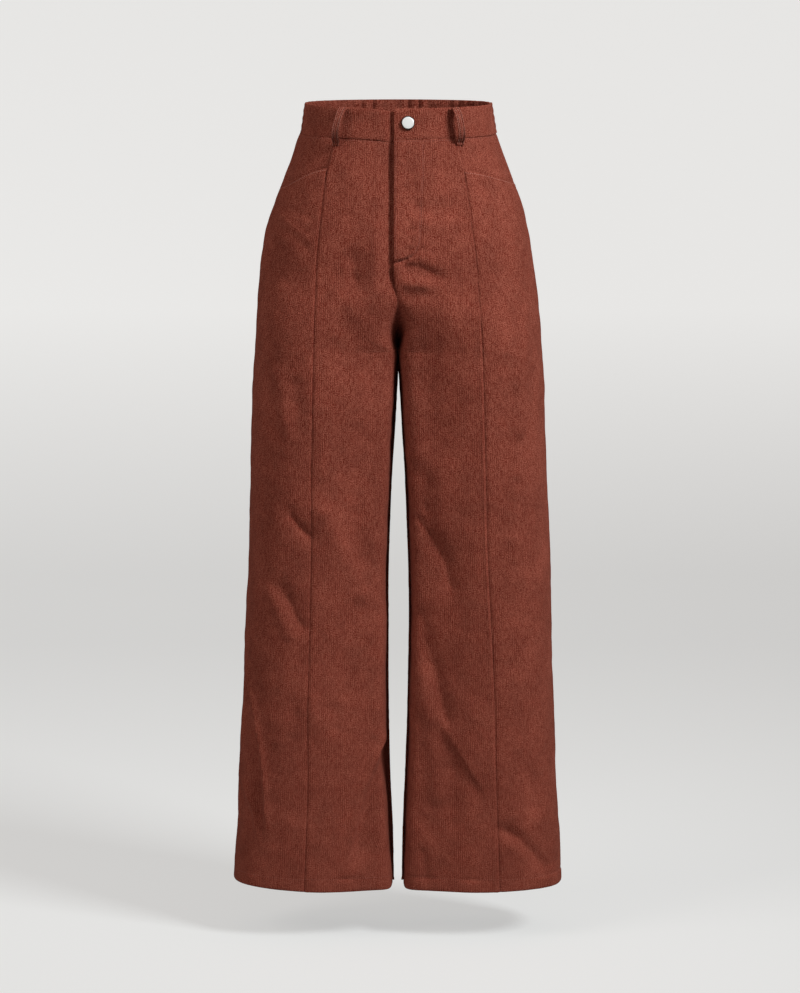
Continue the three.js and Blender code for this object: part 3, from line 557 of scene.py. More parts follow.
def levels_between(top, bottom):
    """Rows about 2.3 mm apart, and closer at the crotch where the legs part."""
    marks = [top, -262, -280, -286.5, CROTCH, -290, -297, bottom]
    steps = [2.4, 1.8, 0.8, 0.3, 0.5, 1.4, 2.5]
    rows = [np.array([top])]
    for high, low, step in zip(marks[:-1], marks[1:], steps):
        count = max(1, int(round((high - low) / step)))
        rows.append(np.linspace(high, low, count + 1)[1:])
    return np.concatenate(rows)


def seam_roll(distance, depth=1.0, width=2.4):
    """Cloth turns in toward a seam over its last few millimetres."""
    return -depth * np.exp(-((distance / width) ** 2))


def cloth_unevenness(panel):
    """Small lumps that real cloth keeps between its folds."""
    z = panel.points[..., 2]
    round_half = panel.side * (40 + 300 * panel.around)
    broad = 1.1 * soft_noise(round_half, z, 40, 58, 11)
    slanted = 0.6 * soft_noise(round_half + 0.6 * z, z - 0.4 * round_half, 15, 30, 12)
    small = 0.17 * soft_noise(round_half, z, 6, 8, 13)
    at_inner_seams = smooth(0, 0.04, np.abs(panel.around)) * smooth(0, 0.04, np.abs(1 - panel.around))
    return (broad + slanted + small) * at_inner_seams


def hem_relief(panel):
    """The turned-up hem: a sewn groove 17 mm up, pulled deeper here and there, and a rounded fold."""
    up = panel.level - HEM
    x = panel.points[..., 0]
    pull = smooth(0.05, 0.75, soft_noise(x, 0 * x, 24, 10, 21))
    groove = -(0.12 + 1.3 * pull) * np.exp(-(((up - 17) / 2.0) ** 2))
    puckers = 0.35 * soft_noise(x, 0 * x, 6, 10, 22) * np.exp(-(((up - 15) / 7) ** 2))
    turned = (0.15 + 0.5 * pull) * smooth(17, 13, up)
    fold = -0.7 * np.exp(-((up / 1.6) ** 2))
    return groove + puckers + turned + fold


def stitch_pucker(distance, along, seed, depth=0.28, width=3.0, pitch=6.5):
    """Uneven little pulls along a line of sewing."""
    return depth * soft_noise(along, 0 * along, pitch, 10, seed) * np.exp(-((distance / width) ** 2))


FLY_LINE = ((32.7, -24), (32.7, -50), (30.4, -94), (28.6, -135), (26.4, -150), (20, -162), (10, -169), (-3.6, -173))
# The crease across the foot of the fly, where the two halves are sewn together.
FLY_FOOT = ((-6, -173), (6, -171), (18, -166), (30, -155))


def path_distance(x, z, line):
    best = np.full(np.shape(x), np.inf)
    for (x1, z1), (x2, z2) in zip(line[:-1], line[1:]):
        along = np.array((x2 - x1, z2 - z1), float)
        length = math.hypot(*along)
        s = np.clip(((x - x1) * along[0] + (z - z1) * along[1]) / length**2, 0, 1)
        best = np.minimum(best, np.hypot(x - x1 - s * along[0], z - z1 - s * along[1]))
    return best


def front_centre_panel(side):
    level = levels_between(BAND_LOW + SEAM_LAP / 2, HEM)
    columns = 52
    across = np.linspace(0, 1, columns)[None, :]
    start = front_start(side, level)[:, None]
    end = beside_front_seam(side, level, SEAM_LAP / 2)[:, None]
    panel = Panel(side, level[:, None], start + (end - start) * across)
    x, z = side * panel.points[..., 0], panel.points[..., 2]
    closing = smooth(-226, -184, panel.level)
    relief = cloth_unevenness(panel)
    relief += stitch_pucker(panel.from_end, z, 31 + side)
    if side == RIGHT:
        relief += seam_roll(panel.from_end, 1.4, 1.9)
        relief += 0.5 * np.exp(-(((panel.from_end - 3.4) / 1.5) ** 2))
    else:
        relief += seam_roll(panel.from_end, 1.0, 1.1)
        relief += 1.2 * np.exp(-(((panel.from_end - 2.6) / 1.5) ** 2))
    relief += seam_roll(panel.from_start, 1.0, 3.0) * smooth(-176, -196, panel.level)
    if side == RIGHT:
        relief -= FLY["step"] * smooth(16, 8, x) * closing
        relief -= 3.0 * smooth(30, 9, x) * closing
    else:
        relief += 1.6 * smooth(16, 0, x) * closing
        relief -= 0.7 * np.exp(-(((panel.from_start) / 1.0) ** 2)) * closing
        under_zip = smooth(-178, -166, z) * smooth(-22, -32, z) * smooth(-4, 3, x) * smooth(34, 27, x)
        relief += under_zip * 0.8 * soft_noise(x, z, 7, 6, 41)
        relief += under_zip * 0.7 * soft_noise(x, z, 5, 24, 42)
        sewn = path_distance(x, z, FLY_LINE)
        relief -= 1.1 * np.exp(-((sewn / 1.9) ** 2)) * smooth(-20, -60, z)
        relief += 0.4 * np.exp(-(((sewn - 4.5) / 2.4) ** 2)) * under_zip
        foot = path_distance(x, z, FLY_FOOT)
        relief -= 3.0 * np.exp(-((foot / 2.3) ** 2))
    relief -= 0.6 * np.exp(-(((panel.level - BAND_LOW) / 2.6) ** 2))
    relief += hem_relief(panel)
    panel.move(relief)
    panel.measure()
    panel.run_grain_down(60)
    return panel


def front_side_panel(side):
    mouth = column(MOUTH, SIDE_NAME[side], np.linspace(0, 1, 46), "across")[None, :]
    level = mouth + (HEM - mouth) * np.linspace(0, 1, 400)[:, None]
    across = np.linspace(0, 1, 46)[None, :]
    start = beside_front_seam(side, level, -SEAM_LAP / 2)
    end = beside_side_seam(side, level, SEAM_LAP / 2)
    panel = Panel(side, level, start + (end - start) * across)
    z = panel.points[..., 2]
    below_mouth = mouth - level
    relief = cloth_unevenness(panel)
    relief += seam_roll(panel.from_start, 0.5 if side == RIGHT else 1.3, 1.6) + seam_roll(panel.from_end)
    relief += stitch_pucker(panel.from_start, z, 31 + side) + stitch_pucker(panel.from_end, z, 34 + side)
    at_side = smooth(0.72, 0.98, across)
    relief += 1.6 * (1 - smooth(4, 26, below_mouth)) * (1 - at_side)
    relief -= 1.3 * np.exp(-((below_mouth / 1.4) ** 2)) * (1 - at_side)
    relief -= 0.3 * np.exp(-(((below_mouth - 6) / 1.6) ** 2))
    relief += hem_relief(panel)
    panel.move(relief)
    panel.measure()
    return panel


def hip_facing_panel(side):
    mouth = column(MOUTH, SIDE_NAME[side], np.linspace(0, 1, 44), "across")[None, :]
    across = np.linspace(0, 1, 44)[None, :]
    top = BAND_LOW + SEAM_LAP / 2
    level = top + (mouth - 13 - top) * np.linspace(0, 1, 34)[:, None]
    start = beside_front_seam(side, level, -4)
    end = beside_side_seam(side, level, SEAM_LAP / 2)
    panel = Panel(side, level, start + (end - start) * across)
    recess = 0.3 + 1.8 * smooth(2, 22, BAND_LOW - level)
    recess = recess * (1 - smooth(0.72, 0.98, across)) + 1.9 * smooth(-5, -0.5, mouth - level)
    relief = 0.6 * cloth_unevenness(panel) - np.minimum(recess, 2.8)
    relief -= 0.5 * np.exp(-(((level - BAND_LOW) / 2.2) ** 2))
    panel.move(relief)
    panel.measure()
    return panel


def back_panel(side):
    level = levels_between(BAND_LOW + SEAM_LAP / 2, HEM)
    across = np.linspace(0, 1, 112)[None, :]
    start = beside_side_seam(side, level, -SEAM_LAP / 2)[:, None]
    end = back_end(side, level)[:, None]
    panel = Panel(side, level[:, None], start + (end - start) * across)
    z = panel.points[..., 2]
    relief = cloth_unevenness(panel)
    relief += seam_roll(panel.from_start) + seam_roll(panel.from_end, 1.0, 3.0)
    relief += stitch_pucker(panel.from_start, z, 34 + side) + stitch_pucker(panel.from_end, z, 64 + side)
    relief -= 0.6 * np.exp(-(((panel.level - BAND_LOW) / 2.6) ** 2))
    relief += hem_relief(panel)
    panel.move(relief)
    panel.measure()
    panel.run_grain_down(75)
    return panel


BAND_LEVELS = np.linspace(BAND_TOP, BAND_LOW - SEAM_LAP / 2, 18)

# Shallow dips of the front band: side, place across and up, half widths and depth.
DIP_COLUMNS = ("side", "x", "z", "wide", "high", "depth")
BAND_DIPS = [dict(zip(DIP_COLUMNS, row)) for row in (
    (RIGHT, 107, -6, 17, 15, 3.0),
    (RIGHT, 44, 5, 30, 9, 1.3),
    (LEFT, 46, 5, 26, 9, 0.8),
)]
BUTTON_X = 12.5
BUTTON_Z = 2.8


def band_relief(panel):
    from_top = BAND_TOP - panel.level
    from_low = panel.level - BAND_LOW
    x, z = panel.points[..., 0], panel.points[..., 2]
    relief = BAND_OUT + 0.35 * soft_noise(x, z, 30, 24, 71) + 0.12 * soft_noise(x, z, 7, 9, 72)
    relief = relief - 0.7 * np.exp(-((from_top / 1.6) ** 2)) - 0.5 * np.exp(-((from_low / 1.6) ** 2))
    return relief


def band_front_panel(side):
    level = BAND_LEVELS[:, None]
    across = np.linspace(0, 1, 84)[None, :]
    lap = FLY["overlap"] if side == LEFT else FLY["underlap"]
    start = -share_of(side, level, 0, lap)
    end = beside_side_seam(side, level, SEAM_LAP / 2)
    panel = Panel(side, level, start + (end - start) * across)
    x = side * panel.points[..., 0]
    z = panel.points[..., 2]
    relief = band_relief(panel)
    for dip in BAND_DIPS:
        if dip["side"] == side:
            place = ((x - dip["x"]) / dip["wide"]) ** 2 + ((z - dip["z"]) / dip["high"]) ** 2
            relief -= dip["depth"] * np.exp(-place)
    if side == RIGHT:
        relief -= FLY["band_step"] * smooth(16, 8, x)
        relief -= 2.2 * smooth(28, 9, x)
    else:
        relief -= 0.5 * np.exp(-((panel.from_start / 1.4) ** 2))
        from_button = np.hypot(x - BUTTON_X, z - BUTTON_Z)
        relief -= 0.8 * np.exp(-((from_button / 11) ** 2))
    panel.move(relief)
    panel.measure()
    return panel


def band_back_panel():
    """The back band in one piece, from the left side seam to the right one."""
    near_middle = 0.9985
    level = BAND_LEVELS[:, None]
    across = np.linspace(0, 1, 110)[None, :]
    halves = []
    for side in (LEFT, RIGHT):
        start = beside_side_seam(side, level, -SEAM_LAP / 2)
        halves.append(Panel(side, level, start + (near_middle - start) * across))
    left, right = halves
    left.points = np.concatenate([left.points, right.points[:, ::-1]], axis=1)
    left.level = np.concatenate([left.level, right.level[:, ::-1]], axis=1)
    left.around = np.concatenate([left.around, 2 - right.around[:, ::-1]], axis=1)
    left.measure()
    relief = band_relief(left)
    stitched = 0.35 * np.cos(2 * math.pi * (left.level - BAND_LOW) / 9.75)
    left.move(relief + stitched)
    left.measure()
    return left


# Materials

def node(tree, kind, **values):
    made = tree.nodes.new(kind)
    for name, value in values.items():
        setattr(made, name, value)
    return made


def put(tree, socket, value):
    """Sets a socket to a number or a colour, or links another socket to it."""
    if isinstance(value, bpy.types.NodeSocket):
        tree.links.new(value, socket)
    else:
        socket.default_value = value


def calc(tree, operation, *values, clamp=False):
    made = node(tree, "ShaderNodeMath", operation=operation, use_clamp=clamp)
    for socket, value in zip(made.inputs, values):
        put(tree, socket, value)
    return made.outputs[0]


def noise(tree, vector, scale, detail=2.0, roughness=0.5):
    made = node(tree, "ShaderNodeTexNoise")
    put(tree, made.inputs["Vector"], vector)
    made.inputs["Scale"].default_value = scale
    made.inputs["Detail"].default_value = detail
    made.inputs["Roughness"].default_value = roughness
    return made.outputs["Fac"]


def stretched(tree, vector, scale):
    made = node(tree, "ShaderNodeMapping")
    put(tree, made.inputs["Vector"], vector)
    made.inputs["Scale"].default_value = scale
    return made.outputs["Vector"]


def new_group(name, inputs, outputs):
    tree = bpy.data.node_groups.new(name, "ShaderNodeTree")
    for label, kind, value in inputs:
        socket = tree.interface.new_socket(name=label, in_out="INPUT", socket_type=kind)
        socket.default_value = value
    for label, kind in outputs:
        tree.interface.new_socket(name=label, in_out="OUTPUT", socket_type=kind)
    return tree, node(tree, "NodeGroupInput"), node(tree, "NodeGroupOutput")


def wales_group():
    """Corduroy's raised wales along the grain, which show more in some places than in others."""
    tree, given, result = new_group(
        "corduroy wales",
        [("Pitch", "NodeSocketFloat", 0.0028), ("Waver", "NodeSocketFloat", 0.0009)],
        [("Height", "NodeSocketFloat"), ("Valley", "NodeSocketFloat")],
    )
    grain = node(tree, "ShaderNodeUVMap", uv_map="grain").outputs["UV"]
    split = node(tree, "ShaderNodeSeparateXYZ")
    put(tree, split.inputs[0], grain)
    waver = noise(tree, stretched(tree, grain, (1.0, 0.4, 1.0)), 90.0, 2.0)
    moved = calc(tree, "MULTIPLY", calc(tree, "SUBTRACT", waver, 0.5), given.outputs["Waver"])
    across = calc(tree, "ADD", split.outputs["X"], moved)
    turns = calc(tree, "MULTIPLY", calc(tree, "DIVIDE", across, given.outputs["Pitch"]), 2 * math.pi)
    wave = calc(tree, "MULTIPLY_ADD", calc(tree, "SINE", turns), 0.5, 0.5)
    rounded = calc(tree, "POWER", wave, 0.7)
    clear = noise(tree, stretched(tree, grain, (1.0, 0.6, 1.0)), 36.0, 2.0)
    clear = calc(tree, "MULTIPLY_ADD", calc(tree, "SUBTRACT", clear, 0.5), 3.0, 0.6, clamp=True)
    put(tree, result.inputs["Height"], calc(tree, "MULTIPLY", rounded, clear))
    valley = calc(tree, "SUBTRACT", 1.0, rounded, clamp=True)
    put(tree, result.inputs["Valley"], calc(tree, "MULTIPLY", valley, clear))
    return tree


def pile_group():
    """Pile flecks: fine grains, clumps of them, and short slanted strokes where it was brushed. They are partly the
    pile's own tone and partly painted sheen, and they weaken lower down, where less light falls.
    """
    tree, given, result = new_group(
        "pile flecks and painted sheen",
        [("Contrast", "NodeSocketFloat", 5.8)],
        [("Fleck", "NodeSocketFloat")],
    )
    grain = node(tree, "ShaderNodeUVMap", uv_map="grain").outputs["UV"]
    grains = noise(tree, grain, 720.0, 1.0, 0.7)
    clumps = noise(tree, grain, 190.0, 2.0, 0.6)
    slanted = node(tree, "ShaderNodeMapping")
    put(tree, slanted.inputs["Vector"], grain)
    slanted.inputs["Rotation"].default_value = (0.0, 0.0, math.radians(38))
    slanted.inputs["Scale"].default_value = (1.0, 0.25, 1.0)
    strokes = noise(tree, slanted.outputs["Vector"], 430.0, 1.0)
    fleck = calc(tree, "MULTIPLY", grains, 0.70)
    fleck = calc(tree, "MULTIPLY_ADD", strokes, 0.23, fleck)
    fleck = calc(tree, "MULTIPLY_ADD", clumps, 0.07, fleck)
    height = node(tree, "ShaderNodeSeparateXYZ")
    put(tree, height.inputs[0], node(tree, "ShaderNodeTexCoord").outputs["Object"])
    # Painted sheen: the flecks weaken toward the hem, as the light does.
    fleck_light_falloff = calc(tree, "MULTIPLY_ADD", height.outputs["Z"], 0.6, 1.12, clamp=True)
    strong = calc(tree, "MULTIPLY", calc(tree, "SUBTRACT", fleck, 0.5), given.outputs["Contrast"])
    strong = calc(tree, "MULTIPLY", strong, fleck_light_falloff)
    put(tree, result.inputs["Fleck"], calc(tree, "ADD", strong, 0.5, clamp=True))
    return tree


def nap_group():
    """Soft patches, where the nap was brushed one way or another."""
    tree, given, result = new_group(
        "brushed nap",
        [("Broad", "NodeSocketFloat", 0.5), ("Small", "NodeSocketFloat", 0.3)],
        [("Tone", "NodeSocketFloat")],
    )
    place = node(tree, "ShaderNodeTexCoord").outputs["Object"]
    patches = noise(tree, stretched(tree, place, (1.0, 1.0, 0.6)), 22.0, 2.0, 0.55)
    mottle = noise(tree, place, 75.0, 3.0, 0.6)
    broad = calc(tree, "MULTIPLY", calc(tree, "SUBTRACT", patches, 0.5), given.outputs["Broad"])
    small = calc(tree, "MULTIPLY", calc(tree, "SUBTRACT", mottle, 0.5), given.outputs["Small"])
    put(tree, result.inputs["Tone"], calc(tree, "ADD", calc(tree, "ADD", broad, small), 1.0))
    return tree


WALES = wales_group()
PILE = pile_group()
NAP = nap_group()


def mixed(tree, factor, first, second, blend="MIX"):
    made = node(tree, "ShaderNodeMix", data_type="RGBA", blend_type=blend)
    put(tree, made.inputs[0], factor)
    put(tree, made.inputs[6], first)
    put(tree, made.inputs[7], second)
    return made.outputs[2]


def new_material(name):
    material = bpy.data.materials.new(name)
    material.use_nodes = True
    tree = material.node_tree
    return material, tree, tree.nodes["Principled BSDF"]


def corduroy(name, pale, deep, pitch=0.0028, depth=0.0004, valley_shade=0.4, sheen=0.07):
    """Pale flecks of pile, partly painted sheen, over a deep ground, in wales and brushed patches; the wale valleys
    are painted shade.
    """
    material, tree, shader = new_material(name)
    wales = node(tree, "ShaderNodeGroup", node_tree=WALES)
    wales.inputs["Pitch"].default_value = pitch
    pile = node(tree, "ShaderNodeGroup", node_tree=PILE)
    nap = node(tree, "ShaderNodeGroup", node_tree=NAP)
    nap.inputs["Broad"].default_value = 0.55
    nap.inputs["Small"].default_value = 0.35
    base = mixed(tree, pile.outputs["Fleck"], deep, pale)
    base = mixed(tree, 1.0, base, nap.outputs["Tone"], "MULTIPLY")
    shade = calc(tree, "MULTIPLY", wales.outputs["Valley"], valley_shade)
    put(tree, shader.inputs["Base Color"], mixed(tree, shade, base, deep))
    bump = node(tree, "ShaderNodeBump")
    bump.inputs["Strength"].default_value = 1.0
    bump.inputs["Distance"].default_value = depth
    put(tree, bump.inputs["Height"], calc(tree, "MULTIPLY_ADD", pile.outputs["Fleck"], 0.6, wales.outputs["Height"]))
    put(tree, shader.inputs["Normal"], bump.outputs["Normal"])
    put(tree, shader.inputs["Roughness"], calc(tree, "MULTIPLY_ADD", pile.outputs["Fleck"], 0.15, 0.8))
    shader.inputs["Specular IOR Level"].default_value = 0.1
    shader.inputs["Sheen Weight"].default_value = sheen
    shader.inputs["Sheen Roughness"].default_value = 0.45
    shader.inputs["Sheen Tint"].default_value = (0.90, 0.40, 0.28, 1.0)
    return material


def thread_material(name, colour):
    material, tree, shader = new_material(name)
    place = node(tree, "ShaderNodeTexCoord").outputs["Object"]
    twist = noise(tree, place, 2400.0, 2.0)
    low = tuple(0.7 * c for c in colour[:3]) + (1.0,)
    put(tree, shader.inputs["Base Color"], mixed(tree, twist, low, colour))
    bump = node(tree, "ShaderNodeBump")
    bump.inputs["Distance"].default_value = 0.0001
    put(tree, bump.inputs["Height"], twist)
    put(tree, shader.inputs["Normal"], bump.outputs["Normal"])
    shader.inputs["Roughness"].default_value = 0.6
    return material


def button_material():
    material, tree, shader = new_material("silver button metal")
    place = node(tree, "ShaderNodeTexCoord").outputs["Object"]
    mottling = noise(tree, place, 900.0, 4.0, 0.6)
    put(tree, shader.inputs["Base Color"], mixed(tree, mottling, (0.90, 0.90, 0.89, 1), (0.98, 0.98, 0.97, 1)))
    put(tree, shader.inputs["Roughness"], calc(tree, "MULTIPLY_ADD", mottling, 0.2, 0.3))
    bump = node(tree, "ShaderNodeBump")
    bump.inputs["Distance"].default_value = 0.00004
    put(tree, bump.inputs["Height"], mottling)
    put(tree, shader.inputs["Normal"], bump.outputs["Normal"])
    shader.inputs["Metallic"].default_value = 0.25
    return material


def button_edge_shade_material():
    # The turned edge is painted near black: painted shade round the button, with the dark cloth reflected in it.
    material, tree, shader = new_material("button edge painted in shade")
    place = node(tree, "ShaderNodeTexCoord").outputs["Object"]
    mottling = noise(tree, place, 1500.0, 3.0, 0.6)
    put(tree, shader.inputs["Base Color"], mixed(tree, mottling, (0.05, 0.03, 0.03, 1), (0.11, 0.08, 0.07, 1)))
    shader.inputs["Roughness"].default_value = 0.5
    shader.inputs["Metallic"].default_value = 0.8
    return material


# The pale flecks' colour is partly painted sheen, paler and less saturated than the cloth's own colour.
RUST_PALE = (0.37, 0.108, 0.071, 1.0)
RUST_DEEP = (0.139, 0.0145, 0.0065, 1.0)
CORDUROY = corduroy("rust corduroy", RUST_PALE, RUST_DEEP)
REVERSE = corduroy("corduroy reverse", (0.19, 0.060, 0.044, 1), (0.07, 0.016, 0.010, 1), 0.0009, 0.0001, 0.2, 0.05)
THREAD = thread_material("rust thread", (0.34, 0.10, 0.07, 1.0))
# Paler thread paints the light lines where the pocket mouths and the belt loop edges catch the light.
THREAD_PAINTED_LIGHT = thread_material("rust thread painted light", (0.60, 0.26, 0.20, 1.0))
METAL = button_material()
METAL_EDGE_SHADE = button_edge_shade_material()

# The panels and the bands

PANELS = {}
for side in (LEFT, RIGHT):
    name = SIDE_NAME[side]
    PANELS["front_centre_" + name] = front_centre_panel(side)
    PANELS["front_side_" + name] = front_side_panel(side)
    PANELS["hip_facing_" + name] = hip_facing_panel(side)
    PANELS["back_" + name] = back_panel(side)
    PANELS["waistband_front_" + name] = band_front_panel(side)
PANELS["waistband_back"] = band_back_panel()

for node_name, panel in PANELS.items():
    band = node_name.startswith("waistband")
    wall = BAND_WALL if band else WALL
    if node_name.startswith("hip"):
        wall = 1.5
    cloth = cloth_object("cloth_" + node_name, panel, wall, CORDUROY, CORDUROY if band else REVERSE)
    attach(cloth, "root")
    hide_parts(node_name)

# Belt loops

LOOP_PATH = (
    (20.6, 2.9), (20.4, 5.8), (17, 10.0), (9.5, 13.4), (0, 14.8),
    (-9.5, 14.0), (-17, 10.2), (-21, 6.0), (-23.4, 2.6), (-26.5, 1.5),
)
LOOP_WIDTH = 11
LOOP_THICK = 2.2
LOOPS = {
    "belt_loop_front_left": (LEFT, 0.188, 3.5),
    "belt_loop_front_right": (RIGHT, 0.181, -5.5),
    "belt_loop_back_left": (LEFT, BACK_LOOP_AROUND, 0),
    "belt_loop_back_right": (RIGHT, BACK_LOOP_AROUND, 0),
}


def outward_of_band(side, around):
    ahead = plain_form(side, 0, around + 0.004)
    behind = plain_form(side, 0, around - 0.004)
    outward = np.array([ahead[1] - behind[1], behind[0] - ahead[0], 0.0]) * side
    return outward / np.linalg.norm(outward)


def smooth_path(points, count):
    """An even smooth line of points through the given ones."""
    points = np.array(points, float)
    steps = np.concatenate([[0], np.cumsum(np.linalg.norm(np.diff(points, axis=0), axis=1))])
    slopes = np.gradient(points, steps, axis=0)
    at = np.linspace(0, steps[-1], count)
    row = np.clip(np.searchsorted(steps, at, side="right") - 1, 0, len(steps) - 2)
    span = (steps[row + 1] - steps[row])[:, None]
    u = ((at - steps[row])[:, None]) / span
    rise = points[row + 1] - points[row]
    curve = points[row] + rise * (3 * u**2 - 2 * u**3)
    return curve + span * (slopes[row] * (u**3 - 2 * u**2 + u) + slopes[row + 1] * (u**3 - u**2))


class Strap(Panel):
    """A belt loop's strap as rows down its path."""

    def __init__(self, side, around, lean):
        outward = outward_of_band(side, around)
        sideways = np.array([-outward[1], outward[0], 0.0])
        centres = []
        for level, off in LOOP_PATH:
            base = plain_form(side, min(level, BAND_TOP), around)
            along = lean * (BAND_TOP - level) / (BAND_TOP - BAND_LOW)
            centres.append(base + outward * (off + LOOP_THICK / 2) + sideways * along)
        line = smooth_path(centres, 46)
        across = np.linspace(-0.5, 0.5, 15)
        self.side = LEFT
        self.points = line[:, None, :] + sideways * (across * LOOP_WIDTH)[None, :, None]
        self.level = np.repeat(line[:, 2:3], len(across), axis=1)
        self.around = np.repeat(across[None, :], len(line), axis=0)
        self.measure()
        edge = 0.5 - np.abs(self.around)
        relief = -0.5 * np.exp(-((edge / 0.05) ** 2)) - 0.8 * np.exp(-(((edge - 0.25) / 0.07) ** 2))
        relief = relief + 0.5 * np.exp(-(((edge - 0.12) / 0.06) ** 2))
        relief = relief + 0.15 * soft_noise(self.around * LOOP_WIDTH, self.level, 4, 5, 81)
        self.move(relief)
        self.measure()


STRAPS = {}
for node_name, (side, around, lean) in LOOPS.items():
    STRAPS[node_name] = Strap(side, around, lean)
    strap = cloth_object("cloth_" + node_name, STRAPS[node_name], LOOP_THICK, CORDUROY, CORDUROY, 0.6)
    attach(strap, "root")
    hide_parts(node_name)
    band = "waistband_back" if "back" in node_name else "waistband_front_" + SIDE_NAME[side]

# Sewing

STITCH_WIDE = 0.55
STITCH_HIGH = 0.4


def evenly(points, outward, pitch):
    """Places every pitch along a line on the cloth, with the direction of the line and of the cloth."""
    steps = np.concatenate([[0], np.cumsum(np.linalg.norm(np.diff(points, axis=0), axis=1))])
    at = np.arange(pitch / 2, steps[-1], pitch)
    spot = np.stack([np.interp(at, steps, points[:, k]) for k in range(3)], axis=-1)
    away = np.stack([np.interp(at, steps, outward[:, k]) for k in range(3)], axis=-1)
    ahead = np.stack([np.interp(at + 0.5, steps, points[:, k]) for k in range(3)], axis=-1)
    behind = np.stack([np.interp(at - 0.5, steps, points[:, k]) for k in range(3)], axis=-1)
    return zip(spot, ahead - behind, away)


def sew(name, lines, pitch=3.2, length=2.3, material=THREAD, rise=0.08):
    """Separate stitches along lines on the cloth, as one piece."""
    thread = bmesh.new()
    for points, outward in lines:
        for spot, along, away in evenly(points, outward, pitch):
            along = Vector(along).normalized()
            away = Vector(away)
            away = (away - along * away.dot(along)).normalized()
            beside = away.cross(along)
            turn = Matrix((beside, away, along)).transposed().to_4x4()
            size = Matrix.Diagonal((STITCH_WIDE * MM, STITCH_HIGH * MM, length * MM, 1.0))
            place = Matrix.Translation((Vector(spot) + away * rise) * MM)
            bmesh.ops.create_uvsphere(
                thread, u_segments=6, v_segments=4, radius=0.5, matrix=place @ turn @ size
            )
    bmesh.ops.recalc_face_normals(thread, faces=thread.faces)
    mesh = bpy.data.meshes.new(name)
    thread.to_mesh(mesh)
    thread.free()
    mesh.materials.append(material)
    piece = new_object(name, mesh)
    finish_mesh(piece, 80)
    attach(piece, "root")
    return piece


def row_line(panel, row):
    return panel.points[row], panel.outward[row]


def nearest_row(panel, level):
    return int(np.argmin(np.abs(panel.level[:, panel.level.shape[1] // 2] - level)))


def beside_edge(panel, distance, top, bottom, from_end=False):
    """A line of sewing that keeps its distance from the front or the back edge of a panel."""
    measure = panel.from_end if from_end else panel.from_start
    points, outward = [], []
    for row in range(len(panel.level)):
        if not bottom <= panel.level[row].mean() <= top:
            continue
        order = np.argsort(measure[row])
        i = np.interp(distance, measure[row][order], order)
        low = int(min(max(math.floor(i), 0), panel.level.shape[1] - 2))
        part = i - low
        points.append(panel.points[row, low] * (1 - part) + panel.points[row, low + 1] * part)
        outward.append(panel.outward[row, low])
    return np.array(points), np.array(outward)


def fly_lines():
    panel = PANELS["front_centre_left"]
    made = []
    for shift in (0, 2.2):
        line = smooth_path([(x - shift * (0.9 if z > -150 else 0.4), z + (shift if z < -150 else 0)) for x, z in FLY_LINE], 60)
        level = line[:, 1]
        spots = []
        for x, z in line:
            if x >= 0:
                around = float(around_at_x(LEFT, z, x))
            else:
                around = -float(share_of(LEFT, z, 0, -x))
            spots.append(panel.find(z, around))
        made.append((np.array([s[0][0] for s in spots]), np.array([s[1][0] for s in spots])))
    return made


sew("stitches_fly_curve", fly_lines())
sew("stitches_fly_edge", [beside_edge(PANELS["front_centre_left"], 2.6, -21, -170)])
sew("stitches_hem", [
    row_line(panel, nearest_row(panel, HEM + 17))
    for name, panel in PANELS.items()
    if name.startswith(("front_centre", "front_side", "back"))
], rise=-0.08)
sew("stitches_waist_seam", [
    row_line(PANELS[name], nearest_row(PANELS[name], BAND_LOW - 2.6))
    for name in ("front_centre_left", "front_centre_right", "hip_facing_left", "hip_facing_right")
])
# Pale stitches along each mouth edge paint its highlight.
sew("stitches_pocket_mouths", [
    row_line(PANELS["front_side_" + name], 1) for name in ("left", "right")
], material=THREAD_PAINTED_LIGHT)
sew("stitches_inseam", [
    beside_edge(PANELS["front_centre_" + name], 4.0, -296, -996) for name in ("left", "right")
])
# Pale stitches paint the light ridges along the loops' edges.
sew("stitches_belt_loops", [
    (strap.points[2:, index], strap.outward[2:, index]) for strap in STRAPS.values() for index in (2, 5, 9, 12)
], 2.6, 2.3, THREAD_PAINTED_LIGHT)

# The button: a flat face with a turned edge, against the band

BUTTON_AROUND = 0.0325
BUTTON_TILT = 0.12
BUTTON_PROFILE = (
    (0.0, 3.15), (3.0, 3.14), (6.4, 3.08), (7.2, 3.0), (7.5, 2.8), (8.2, 1.9), (8.7, 1.0),
    (8.7, 0.6), (8.3, 0.35), (7.2, 0.1), (0.0, 0.0),
)
BUTTON_FACE = 7.4


